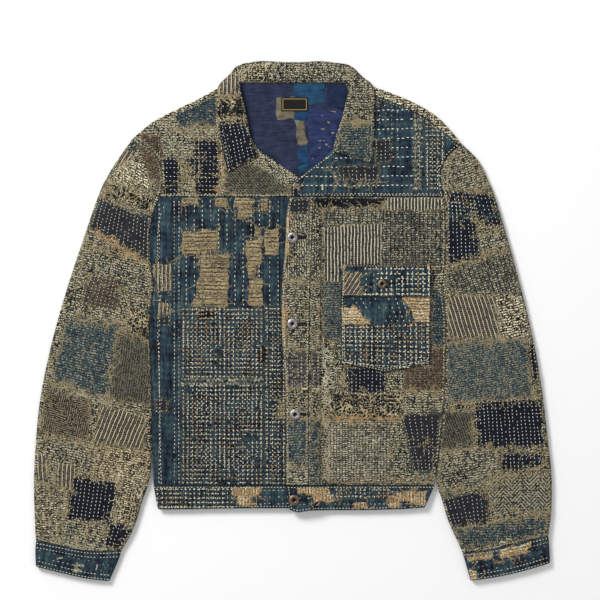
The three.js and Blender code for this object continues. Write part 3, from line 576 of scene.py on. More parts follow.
heather = ["black", "olive", "greyGreen", "tan", "sand"]

# How each cloth looks. weave gives the size of a thread's float across and along in millimetres,
# mix how strongly the floats vary, tones the dye from its darkest to its palest thread.
clothLooks = {
    "greyTweed": {
        "tones": heather, "spread": [0.12, 0.34, 0.56, 0.76, 1],
        "weave": (1.5, 1.9), "mix": 1.3, "dash": ("sand", 3.1, 4.6, 0.5, 0.45),
    },
    "collarTweed": {
        "tones": heather, "spread": [0.16, 0.44, 0.7, 0.94, 1.2],
        "weave": (1.5, 1.8), "mix": 1.1, "dash": ("sand", 3.4, 4.6, 0.5, 0.3),
    },
    "beigeTweed": {
        "tones": ["black", "brown", "tan", "straw", "cream"], "spread": [0.2, 0.46, 0.66, 0.9, 1.2],
        "weave": (1.6, 1.9), "mix": 1.4, "dash": ("straw", 3.4, 4.6, 0.45, 0.4),
    },
    "oliveTweed": {
        "tones": heather, "spread": [0.12, 0.38, 0.64, 0.86, 1.05],
        "weave": (1.5, 1.8), "mix": 1.2, "dash": ("straw", 3.4, 4.8, 0.45, 0.35),
    },
    "brownTweed": {
        "tones": ["black", "brown", "brown", "rust", "tan"], "spread": [0.04, 0.28, 0.54, 0.74, 1.05],
        "weave": (1.5, 1.8), "mix": 1.0, "dash": ("bran", 4.0, 4.8, 0.4, 0.4),
    },
    "tealTweed": {
        "tones": ["black", "indigo", "teal", "greyGreen", "beige"],
        "spread": [0.03, 0.26, 0.62, 0.95, 1.25], "weave": (1.5, 1.9), "mix": 0.9,
        "dash": ("greyGreen", 3.6, 5.0, 0.45, 0.3),
    },
    "greyTeal": {
        "tones": ["night", "teal", "greyGreen", "greyGreen", "beige"],
        "spread": [0.12, 0.42, 0.8, 1.0, 1.3], "weave": (1.4, 1.7), "mix": 0.95,
    },
    "denim": {
        "tones": ["black", "navy", "indigo", "teal", "paleTeal"], "spread": [0.12, 0.3, 0.48, 0.75, 1],
        "weave": (1.1, 5.0), "mix": 0.3, "mottle": 0.9, "puckerShade": 0.7, "edge": "paleTeal",
    },
    "deepDenim": {
        "tones": ["black", "navy", "indigo", "teal"], "spread": [0.12, 0.34, 0.64, 0.95],
        "weave": (1.1, 4.0), "mix": 0.6, "mottle": 1.1, "puckerShade": 0.4,
        "dash": ("tan", 3.4, 4.4, 0.5, 0.5), "edge": "paleTeal",
    },
    "nightCloth": {
        "tones": ["black", "night", "night", "indigo"], "spread": [0.1, 0.4, 0.75, 1],
        "weave": (1.1, 4.0), "mix": 0.5, "mottle": 0.7,
    },
    "charcoal": {
        "tones": ["night", "charcoal", "charcoal", "mauve"], "spread": [0.05, 0.35, 0.8, 1],
        "weave": (1.1, 4.0), "mix": 0.5, "mottle": 0.6,
    },
    "mauveCloth": {
        "tones": ["night", "mauve", "mauve", "tan"], "spread": [0.1, 0.4, 0.75, 1], "weave": (1.4, 3.0),
        "mix": 0.9, "dash": ("sand", 5.6, 4.8, 0.4, 0.4),
    },
    "brownTwill": {
        "tones": ["black", "black", "brown", "bran"], "spread": [0.05, 0.3, 0.7, 1.1],
        "weave": (1.3, 1.8), "mix": 0.9, "twill": ("beige", 4.2, 0.32, 44),
    },
    "darkTwill": {
        "tones": ["black", "olive", "olive", "tan"], "spread": [0.1, 0.4, 0.75, 1], "weave": (1.3, 1.8),
        "mix": 0.8, "twill": ("tan", 4.8, 0.34, 0),
    },
    "herringbone": {
        "tones": ["black", "olive", "greyGreen", "beige"], "spread": [0.1, 0.35, 0.75, 1],
        "weave": (1.4, 1.8), "mix": 0.9, "twill": ("sand", 5.4, 0.34, 26),
    },
    "stripedCloth": {
        "tones": ["black", "night", "navy", "indigo"], "spread": [0.1, 0.4, 0.7, 1], "weave": (1.1, 2.4),
        "mix": 0.6, "stripe": ("corn", 6.0, 0.29, 0.8),
    },
    "fineStripe": {
        "tones": ["black", "black", "night", "olive"], "spread": [0.1, 0.4, 0.8, 1], "weave": (1.3, 2.4),
        "mix": 0.8, "stripe": ("cream", 5.0, 0.31, 0.3),
    },
    "tornBeige": {
        "tones": ["brown", "bran", "wheat", "wheat", "straw"], "spread": [0.05, 0.2, 0.45, 0.8, 1],
        "weave": (1.2, 2.6), "mix": 0.9, "mottle": 0.8, "line": ("night", 6.5, 0.16),
    },
    "orangeBeige": {
        "tones": ["brown", "wheat", "straw", "orange", "cream"], "spread": [0.05, 0.25, 0.5, 0.8, 1],
        "weave": (1.2, 2.0), "mix": 0.9, "mottle": 0.6, "line": ("night", 5.4, 0.14),
    },
    "checkTweed": {
        "tones": ["black", "olive", "tan", "sand", "cream"], "spread": [0, 0.15, 0.4, 0.7, 1],
        "weave": (1.5, 1.5), "mix": 0.8, "stripe": ("night", 4.4, 0.2, 0), "line": ("night", 4.0, 0.16),
    },
    "dottedOlive": {
        "tones": ["black", "olive", "tan", "straw", "cream"], "spread": [0.1, 0.34, 0.6, 0.9, 1.1],
        "weave": (1.5, 1.7), "mix": 1.0, "dash": ("straw", 4.6, 4.2, 0.4, 0.5),
    },
    "dottedBrown": {
        "tones": ["black", "brown", "brown", "tan"], "spread": [0.05, 0.3, 0.75, 1], "weave": (1.5, 1.7),
        "mix": 0.8,
    },
    "dashTweed": {
        "tones": ["black", "olive", "tan", "straw", "corn"], "spread": [0.12, 0.34, 0.56, 0.84, 1.1],
        "weave": (1.6, 1.6), "mix": 1.1, "dash": ("black", 4.4, 7.0, 0.6, 0.8),
    },
    "stripedTweed": {
        "tones": heather, "spread": [0.0, 0.24, 0.6, 0.86, 1.1],
        "weave": (1.4, 1.8), "mix": 1.0, "stripe": ("black", 6.2, 0.2, 0),
    },
    "frayedNight": {
        "tones": ["black", "black", "night", "olive"], "spread": [0.1, 0.4, 0.8, 1], "weave": (1.4, 2.0),
        "mix": 1.0, "dash": ("straw", 3.4, 4.6, 0.4, 0.25), "fray": ("straw", 6.0, 0.055, 0.6),
    },
    "darkPlain": {
        "tones": ["black", "black", "night", "charcoal"], "spread": [0.1, 0.4, 0.75, 1],
        "weave": (1.2, 3.0), "mix": 0.6, "mottle": 0.7,
    },
    "frayedTweed": {
        "tones": heather, "spread": [0.18, 0.42, 0.68, 0.92, 1.2],
        "weave": (1.5, 1.9), "mix": 1.35, "dash": ("straw", 3.2, 4.6, 0.5, 0.3),
        "fray": ("straw", 6.5, 0.022, 0.25),
    },
    "wornCloth": {
        "tones": ["night", "indigo", "greyGreen", "beige", "sand"],
        "spread": [0.05, 0.25, 0.5, 0.85, 1.1], "weave": (1.4, 3.4), "mix": 0.9, "edge": "paleTeal",
    },
    "pinkTweed": {
        "tones": ["black", "brown", "bran", "straw", "corn"], "spread": [0.08, 0.3, 0.52, 0.82, 1.1],
        "weave": (1.6, 1.8), "mix": 1.2, "dash": ("straw", 4.4, 4.4, 0.45, 0.5),
    },
}


def twoTones(new, fine, dye, dark):
    return new.colour(fine.ease(0.3, 0.7), scaled(dyes[dye], dark), dyes[dye])


def clothMaterial(name, look):
    material, new = startMaterial(name)
    across, along = new.weavePlace()
    tone, wear = new.attribute("tone"), new.attribute("wear")
    wander = new.noise(across / 26, along / 26, 1, 3.0) - 0.5
    a, b = across + wander * 3.0, along + wander * 2.0
    width, length = look["weave"]
    floatColumn = (a / width).floor()
    floatRow = (b / length + new.chance(floatColumn, 0.0, 5.0)).floor()
    floats = new.chance(floatColumn, floatRow, 1.0)
    fine = new.noise(a / 1.2, b / 1.6, 2, 9.0)
    mottle = new.noise(a / 22, b / 30, 3, 2.0)
    mix, mottling = look["mix"], look.get("mottle", 0.45)
    over = (floatRow * 0.5).fract() > 0.25           # threads lie over and under by turns
    level = (floats - 0.5) * mix * 0.95 + (over - 0.5) * mix * 0.55
    level = level + (mottle - 0.5) * mottling * 1.6 + (fine - 0.5) * 0.5 + 0.3 + tone * 0.3
    if "puckerShade" in look:             # painted shade and light of the puckers between stitch rows, in streaks that run with the cloth
        level = level + (new.noise(a / 3.2, b / 60, 2, 24.0) - 0.5) * look["puckerShade"] * 2
    stopList = [(place, dyes[dye]) for place, dye in zip(look["spread"], look["tones"])]
    colour = new.make("ShaderNodeValToRGB", {"stops": stopList}, {0: level})
    height = over * 0.3 + fine * 0.3

    if "stripe" in look:
        dye, pitch, share, dotted = look["stripe"]
        ridge = ((a / pitch).fract() - 0.5).size() * 2
        on = (1 - ridge.ease(share - 0.12, share + 0.12)) * new.noise(a / 2, b / 5, 2, 4.0).ease(0.3, 0.48)
        if dotted:                   # small stitches between the stripes
            dots = (b / 3.0 + new.chance((a / pitch + 0.5).floor(), 0.0, 21.0)).fract() < 0.5
            on = on.most(ridge.ease(0.8, 0.94) * dots * dotted)
        colour = new.colour(on, colour, twoTones(new, fine, dye, 0.55))
        height = height + on * 0.5
    if "line" in look:
        dye, pitch, share = look["line"]
        groove = ((b / pitch + (mottle - 0.5) * 0.5).fract() - 0.5).size() * 2
        on = (1 - groove.ease(share - 0.08, share + 0.1)) * new.noise(a / 9, b / 2, 1, 6.0).ease(0.3, 0.42)
        colour = new.colour(on * 0.9, colour, dyes[dye])
        height = height - on * 0.8
    if "twill" in look:
        dye, pitch, share, zigzag = look["twill"]
        slope = ((a / zigzag).fract() - 0.5).size() * zigzag if zigzag else a
        wale = ((slope + b * 0.9) / pitch).fract()
        on = (wale < share) * new.chance((b / 2.4).floor(), (a / 2.4).floor(), 8.0).ease(0.1, 0.5)
        colour = new.colour(on * 0.85, colour, dyes[dye])
        height = height + on * 0.5
    if "dash" in look:
        dye, pitch, period, share, cover = look["dash"]
        lane = a / pitch + wander * 0.6
        laneIndex = lane.floor()
        phase = (b / period + new.chance(laneIndex, 0.0, 12.0)).fract()
        middle = (lane.fract() - 0.5).size()
        kept = new.chance(laneIndex, (b / period).floor(), 2.0) < cover
        on = (phase < share) * (1 - middle.ease(0.16, 0.34)) * kept
        colour = new.colour(on * 0.9, colour, twoTones(new, fine, dye, 0.6))
        height = height + on * 0.7
    if "fray" in look:
        dye, size, thin, cover = look["fray"]
        loose = (new.noise(a / size, b / size, 0.6, 14.0) - 0.5).size()
        spots = new.noise(a / 24, b / 24, 1, 15.0).ease(0.62 - cover * 0.4, 0.72 - cover * 0.4)
        on = (1 - loose.ease(thin * 0.5, thin)) * spots
        colour = new.colour(on, colour, dyes[dye])
        height = height + on * 0.9
    curl = (new.noise(a / 4.5, b / 4.5, 1, 18.0) - 0.5).size()
    edge = (1 - curl.ease(0.02, 0.06)) * wear.ease(0.3, 0.75)
    worn = dyes[look.get("edge", "straw")]
    colour = new.colour(edge * 0.8, colour, new.colour(floats, scaled(worn, 0.45), worn))
    return endMaterial(material, new, {
        "Base Color": colour, "Normal": new.bump(height + edge * 0.6, 0.7, 0.0011), "Roughness": 0.92,
        "Specular IOR Level": 0.12, "Sheen Weight": 0.04, "Sheen Roughness": 0.6})


def threadMaterial(name, dye):
    material, new = startMaterial(name)
    x, y = new.objectPlace()
    ply, patchy = new.noise(x / 0.7, y / 0.7, 1, 1.0), new.noise(x / 14, y / 14, 1, 2.0)
    share = (ply * 0.5 + patchy * 0.8 - 0.25 + new.attribute("tone") * 0.3).ease(0.1, 0.8)
    return endMaterial(material, new, {
        "Base Color": new.colour(share, scaled(dye, 0.72), dye), "Normal": new.bump(ply, 0.5, 0.0003),
        "Roughness": 0.8, "Specular IOR Level": 0.2})


clothMaterials = {name: clothMaterial(name, look) for name, look in clothLooks.items()}
threads = {name: threadMaterial(name + "Thread", dyes[name])
           for name in ("cream", "white", "sand", "straw", "orange", "night", "paleTeal")}
print("materials made")


# Panels

steps = {"placket": 2.6, "shoulderEdge": 2.0, "band": 2.8, "backBand": 5, "back": 9, "lining": 3, "label": 2}
rims = {"shoulderEdge": 1.2, "pocket": 1.2, "lining": 0.5, "label": 0.4}
levels = (jacket["bandLine"] + jacket["frontGap"], jacket["yokeLine"] - jacket["frontGap"])


def sideBounds(side, frontEdge):
    gap = side["sign"] * jacket["seamGap"] / 2
    edge = shifted(joined(smoothPath(side["sideSeam"]), smoothPath(side["lowerArmhole"])), gap)
    edge[0, 1], edge[-1, 1] = levels
    return fourEdges(edge, [(xOnLine(frontEdge, y) + gap, y) for y in np.linspace(*levels, 40)])


def rightFrontThick(x, y):
    outer, inner = xOnLine(rightPleat["outer"], y), xOnLine(rightPleat["inner"], y)
    up = smoothstep(x, outer - jacket["pleatSlope"], outer)
    down = smoothstep(x, inner, inner + jacket["pleatSlope"])
    return jacket["cloth"] + jacket["pleatRise"] * up * (1 - down)


def leftFrontThick(x, y):
    line = xOnLine(leftPleat, y)
    return jacket["cloth"] + jacket["pleatRise"] * (1 - smoothstep(x, line, line + jacket["pleatSlope"]))


def pleatColumns(bounds, lines):     # more columns of the mesh where a pleat steps up
    lowX, highX = bounds["low"][:, 0], bounds["high"][:, 0]
    middleLow, middleHigh = (lowX[0] + highX[0]) / 2, (lowX[-1] + highX[-1]) / 2
    places = np.concatenate([np.linspace(line - 2, line + 2, 6) for line in lines])
    return (places - middleLow) / (middleHigh - middleLow)


def frontShell(node, side, frontEdge, pleatLines, under, thick, cloth):
    bounds = sideBounds(side, frontEdge)
    bounds["extra"] = pleatColumns(bounds, pleatLines)
    clothShell(node, bounds, under, thick, cloth)


def lineAt(rows, aside=0.0):
    return [(xOnLine(rows, y) - aside, y) for y in np.linspace(*levels, 50)]


frontShell("front_right", rightSide, rightFrontEdge, [-44.2, -21], frontUnder, rightFrontThick, "denim")
frontShell("front_left", leftSide, placketSeam, [41, 44, 47], leftUnder, leftFrontThick, "frayedTweed")
clothShell("placket_left", fourEdges(lineAt(placketEdge), lineAt(placketSeam, jacket["seamGap"] / 2)),
           leftUnder, jacket["cloth"], "oliveTweed", step=steps["placket"])


def shoulderLines(side, extra):
    fold = shifted(smoothPath(side["shoulder"]), side["sign"] * jacket["seamGap"])
    armhole = shifted(smoothPath(side["upperArmhole"]), side["sign"] * jacket["seamGap"] / 2)
    fold[0] = armhole[-1]
    shares = np.linspace(0, 1, len(fold))
    widths = side["shoulderEdge"] * (0.35 + 0.65 * np.minimum(1, shares * 4)) + extra
    beside = fold + (shifted(fold, side["sign"]) - fold) * widths[:, None]
    beside[0] = pointsOn(armhole, [1 - widths[0] / pathLength(armhole)])[0]
    return fold, beside, armhole


def yokeShell(node, side, under, cloth):
    _, beside, armhole = shoulderLines(side, jacket["seamGap"])
    neck = np.array(side["neckEdge"], float)
    upper = np.vstack([beside, neck[-1:]])
    seams = fourEdges(armhole, smoothPath(neck), [(armhole[0, 0], jacket["yokeLine"]), neck[0]], upper)
    armhole[0, 1] = jacket["yokeLine"]
    armhole[-1] = beside[0]
    clothShell(node, fourEdges(armhole, pointsOn(neck, np.linspace(0, 1, 60)), high=upper), under,
               jacket["cloth"], cloth)
    panelBounds[node] = seams        # the stitches follow a smoother neck edge than the cloth


yokeShell("yoke_right", rightSide, frontUnder, "greyTweed")
yokeShell("yoke_left", leftSide, leftUnder, "denim")
for word, side in (("right", rightSide), ("left", leftSide)):
    fold, beside, _ = shoulderLines(side, 0)
    clothShell("shoulder_edge_" + word, fourEdges(fold, beside), frontUnder, jacket["cloth"], "beigeTweed",
               rims["shoulderEdge"], steps["shoulderEdge"])


def sleeveBounds(side):
    gap = side["sign"] * jacket["seamGap"]
    armhole = shifted(joined(smoothPath(side["lowerArmhole"]), smoothPath(side["upperArmhole"])), -gap / 2)
    inner = shifted(smoothPath(side["sleeveInner"], 90), gap * 1.5)
    outer = smoothPath(side["sleeveOuter"], 90)
    seam = shifted(smoothPath(side["cuffSeam"]), gap / 2)
    inner[0], inner[-1], outer[0], outer[-1] = armhole[0], seam[0], armhole[-1], seam[-1]
    return fourEdges(inner, outer, armhole, seam)


def cuffBounds(side):
    seam = shifted(smoothPath(side["cuffSeam"]), -side["sign"] * jacket["seamGap"] / 2)
    start, finish = smoothPath(side["cuffInner"]), smoothPath(side["cuffOuter"])
    start[0], finish[0] = seam[0], seam[-1]
    return fourEdges(start, finish, seam, smoothPath(side["cuffEnd"]))


def cuffRise(x, y):
    return jacket["cuffUneven"] * ripple(x, y, 26, 11)


def bandBounds(hem, top):
    return fourEdges([hem[0], top[0]], [hem[-1], top[-1]], smoothPath(hem), top)


for word, side, grain in (("right", rightSide, -14), ("left", leftSide, 14)):
    tubeShell("sleeve_" + word, sleeveBounds(side), jacket["sleeveHeight"], jacket["cloth"], reliefAt,
              "frayedTweed", grain)
    tubeShell("cuff_" + word, cuffBounds(side), jacket["cuffHeight"], jacket["cuffCloth"], cuffRise,
              "denim", grain)
for word, side, under in (("right", rightSide, frontUnder), ("left", leftSide, bandLapUnder)):
    clothShell("waistband_" + word, bandBounds(side["bandHem"], side["bandTop"]), under, jacket["bandCloth"],
               "denim", step=steps["band"])
backHem = [(-202, -281), (-184, -281.5), (-94, -280.5), (0, -280.5), (101, -281.5), (161, -281), (197, -279)]
clothShell("waistband_back", bandBounds(backHem, [(-209, -246.3), (212, -246.3)]), onFloor, jacket["cloth"],
           "deepDenim", step=steps["backBand"])


def backBounds():
    parts = ("sideSeam", "lowerArmhole", "upperArmhole", "shoulder")
    gap = jacket["seamGap"] / 2
    edges = [shifted(joined(*(smoothPath(side[part]) for part in parts)), side["sign"] * gap)
             for side in (rightSide, leftSide)]
    for edge in edges:
        edge[0, 1] = jacket["bandLine"] + gap
    neck = smoothPath(backNeck)
    neck[0], neck[-1] = edges[0][-1], edges[1][-1]
    return fourEdges(*edges, high=neck)


clothShell("back", backBounds(), onFloor, jacket["cloth"], "greyTweed", step=steps["back"])
pocketBounds = boxEdges(pocket["right"], pocket["corner"], pocket["left"], pocket["top"])
pocketBounds["low"] = np.insert(pocketBounds["low"], 1, (pocket["pointX"], pocket["pointY"]), 0)
clothShell("chest_pocket", pocketBounds, pocketUnder, jacket["pocketCloth"], "deepDenim", rims["pocket"])
clothShell("pocket_flap", boxEdges(flap["right"], flap["bottom"], flap["left"], flap["top"]), flapUnder,
           jacket["pocketCloth"], "denim", rims["pocket"])
print("panels made")


# Collar, lining and label

collar = {"columns": 150, "rim": 1.6, "innerRim": 0.75, "outerShare": 0.72, "endLength": 22, "uneven": 0.04}


def collarShell():
    last = len(collarRows) - 1
    near = np.array([0, 0.01, 0.035, 0.08])
    t = np.concatenate([near, np.linspace(0.14, last - 0.14, collar["columns"]), last - near[::-1]])
    rows = rowsAt(collarRows, t)
    near = np.array([0, 0.006, 0.02, 0.045, 0.08])
    u = np.concatenate([near, np.linspace(0.12, 0.86, 12), [0.9, 0.94, 0.97, 0.99, 1]])
    outer, inner = rows[:, None, 0:2], rows[:, None, 2:4]
    plan = outer + (inner - outer) * u[None, :, None]
    x, y = plan[..., 0], plan[..., 1]
    width = np.hypot(*(rows[:, 2:4] - rows[:, 0:2]).T)[:, None]
    onYoke = np.clip(rows[:, 4:5] + (rows[:, 5:6] - rows[:, 4:5]) * u, 0, 1)
    under = onYoke * (frontUnder(x, y) + jacket["cloth"] + jacket["layerGap"])
    thick = rows[:, 6:7] * (collar["outerShare"] + (1 - collar["outerShare"]) * u)
    thick = thick * (1 + collar["uneven"] * ripple(x, y, 30, 21))
    fromTip = np.minimum(t, last - t)[:, None] * collar["endLength"]
    fromOuter = np.minimum(u * width, fromTip) / collar["rim"]
    rounding = roundEdge(np.minimum(fromOuter, (1 - u) * width / (rows[:, 6:7] * collar["innerRim"])))
    mesh = bmesh.new()
    for side in (1, -1):
        layGrid(mesh, plan, under + thick / 2 + side * rounding * thick / 2)
    keepShell("collar", mesh, None, "collarTweed")


def liningMaterial(name, dye, spots):
    material, new = startMaterial(name)
    a, b = new.weavePlace()
    cloudy, fine = new.noise(a / 16, b / 12, 3, 1.0), new.noise(a / 0.8, b / 0.8, 1, 2.0)
    colour = new.colour((cloudy + (fine - 0.5) * 0.3).ease(0.25, 0.75), scaled(dye, 0.55), scaled(dye, 1.3))
    colour = new.colour(new.noise(a / 11, b / 9, 1, 7.0).ease(0.66, 0.7) * spots, colour, dyes["beige"])
    wrinkles = new.noise(a / 30, b / 5, 3, 4.0) * 2.4 + fine * 0.2
    return endMaterial(material, new, {"Base Color": colour, "Normal": new.bump(wrinkles, 0.9, 0.0016),
                                       "Roughness": 0.75, "Specular IOR Level": 0.12})


liningDyes = {
    "liningIndigo": (0.023, 0.030, 0.064), "liningTeal": (0.015, 0.058, 0.118),
    "liningNavy": (0.012, 0.022, 0.056), "liningUltra": (0.023, 0.034, 0.100),
    "liningKhaki": (0.155, 0.138, 0.090), "liningBlue": (0.012, 0.045, 0.115),
}
for name, dye in liningDyes.items():
    clothMaterials[name] = liningMaterial(name, dye, 0.8 if name == "liningUltra" else 0.0)


def labelMaterial():
    material, new = startMaterial("wovenLabel")
    x, y = new.objectPlace()
    middleX, middleY = (label["right"] + label["left"]) / 2, (label["low"] + label["high"]) / 2
    halfX, halfY = (label["left"] - label["right"]) / 2, (label["high"] - label["low"]) / 2
    fromEdge = (halfX - (x - middleX).size()).least(halfY - (y - middleY).size())
    line = (fromEdge > 2.0) * (fromEdge < 2.9)
    weave = ((x * 4.0).sine() * (y * 4.0).sine() + 1) * 0.5
    ground = new.colour(weave, (0.006, 0.006, 0.006), (0.02, 0.019, 0.016))
    border = new.colour(weave, (0.25, 0.17, 0.06), (0.5, 0.36, 0.14))
    return endMaterial(material, new, {
        "Base Color": new.colour(line, ground, border), "Normal": new.bump(weave + line, 0.5, 0.0003),
        "Roughness": 0.8, "Specular IOR Level": 0.1})


def liningUnder(x, y):
    return jacket["cloth"] + jacket["liningGap"] + jacket["liningUneven"] * ripple(x, y, 30, 31)


def labelUnder(x, y):
    return 0 * x + jacket["cloth"] + jacket["liningGap"] + jacket["liningCloth"] + jacket["labelGap"]


clothMaterials["wovenLabel"] = labelMaterial()
collarShell()
clothShell("back_lining", fourEdges([(right, y) for y, right, left in liningRows],
                                    [(left, y) for y, right, left in liningRows]),
           liningUnder, jacket["liningCloth"], "liningIndigo", rims["lining"], steps["lining"])
clothShell("neck_label", boxEdges(label["right"], label["low"], label["left"], label["high"]), labelUnder,
           jacket["labelCloth"], "wovenLabel", rims["label"], steps["label"])
print("collar and lining made")


# Patches sewn on the panels

class Surface:                   # the upper side of some pieces, in millimetres
    def __init__(self, *pieces):
        points, faces = [], []
        for piece in pieces:
            first = len(points)
            points.extend(vert.co.copy() for vert in piece.data.vertices)
            faces.extend([first + k for k in face.vertices] for face in piece.data.polygons)
        self.ownFaces = len(pieces[0].data.polygons)
        self.tree = BVHTree.FromPolygons(points, faces)

    def under(self, x, y):       # the point, its slope and whether it lies on a patch
        spot, normal, index, _ = self.tree.ray_cast(Vector((x, y, 100)) * mm, Vector((0, 0, -1)))
        if spot is None:
            return None
        normal = normal if normal.z > 0 else -normal
        return spot / mm, normal, index >= self.ownFaces

    def at(self, x, y):          # also beside the pieces, where the nearest point counts
        found = self.under(x, y)
        return found[0] if found else self.tree.find_nearest(Vector((x, y, 5)) * mm)[0] / mm


patch = {
    "step": 3.8,
    "rim": 1.4,
    "thickness": 0.5,
    "lift": 0.6,                 # of its upper side over the cloth
    "layerLift": 0.3,            # more for each patch below it
    "edgeSink": 0.12,
    "edgeSlope": 0.7,
    "unevenReach": 6.0,          # how far in from its edge the outline's unevenness reaches
    "wearReach": 3.2,
    "ripples": ((1.5, 22), (0.7, 7)),    # depth and length
}


def toMillimetres(corners):
    if len(corners) == 4 and not hasattr(corners[0], "__len__"):
        left, top, right, bottom = corners
        corners = ((left, top), (right, top), (right, bottom), (left, bottom))
    scale = picture["scale"]
    return [((x - picture["middleX"]) * scale, (picture["middleY"] - y) * scale) for x, y in corners]


def patchBounds(corners):        # corners run from the upper left round by the right
    topLeft, topRight, lowRight, lowLeft = toMillimetres(corners)
    return fourEdges([lowLeft, topLeft], [lowRight, topRight])


def unevenEdge(x, y, seed):
    return sum(depth * ripple(x, y, length, seed + k) for k, (depth, length) in enumerate(patch["ripples"]))


def addPatch(mesh, layers, bounds, surface, turn, index, layer, seed):
    uvLayer, toneLayer, wearLayer = layers
    chance = random.Random(seed)
    lengthU, lengthV = lengthsOf(bounds)
    u, v = np.meshgrid(*(stops(length, patch["step"], patch["rim"]) for length in (lengthU, lengthV)))
    plan = between(bounds, u, v)
    inside = insideEdges(u, v, lengthU, lengthV)
    x, y = plan[..., 0], plan[..., 1]
    near = np.exp(-inside / patch["unevenReach"])
    edgeX, edgeY = x + near * unevenEdge(x, y, seed), y + near * unevenEdge(x, y, seed + 2)
    lift = (patch["lift"] + patch["layerLift"] * layer) * (1 - np.exp(-inside / patch["edgeSlope"]))
    rows = addGrid(mesh, *x.shape)
    tone, offset = chance.uniform(0.2, 0.8), Vector((chance.uniform(0, 1), chance.uniform(0, 1)))
    c, s = math.cos(math.radians(turn)), math.sin(math.radians(turn))
    for vert, j, i in rows:
        spot = surface.at(edgeX[j, i], edgeY[j, i])
        vert.co = (spot + Vector((0, 0, lift[j, i] - patch["edgeSink"]))) * mm
        vert[toneLayer], vert[wearLayer] = tone, math.exp(-inside[j, i] / patch["wearReach"])
    for face in {face for vert, _, _ in rows for face in vert.link_faces}:
        face.material_index = index
        for loop in face.loops:
            px, py = loop.vert.co.x, loop.vert.co.y
            loop[uvLayer].uv = (px * c + py * s + offset.x, py * c - px * s + offset.y)


def addPatches(node, table, seed):
    surface = Surface(panels[node])
    mesh = bmesh.new()
    floats = mesh.verts.layers.float
    layers = (mesh.loops.layers.uv.new("weave"), floats.new("tone"), floats.new("wear"))
    cloths = sorted({row[0] for row in table})
    for number, (cloth, turn, corners, layer) in enumerate(table):
        addPatch(mesh, layers, patchBounds(corners), surface, turn, cloths.index(cloth), layer,
                 seed * 100 + number * 7)
    piece = finishMesh("patches_" + node, mesh, [clothMaterials[cloth] for cloth in cloths])
    thickness = piece.modifiers.new("thickness", "SOLIDIFY")
    thickness.thickness, thickness.offset = patch["thickness"] * mm, -1
    return piece


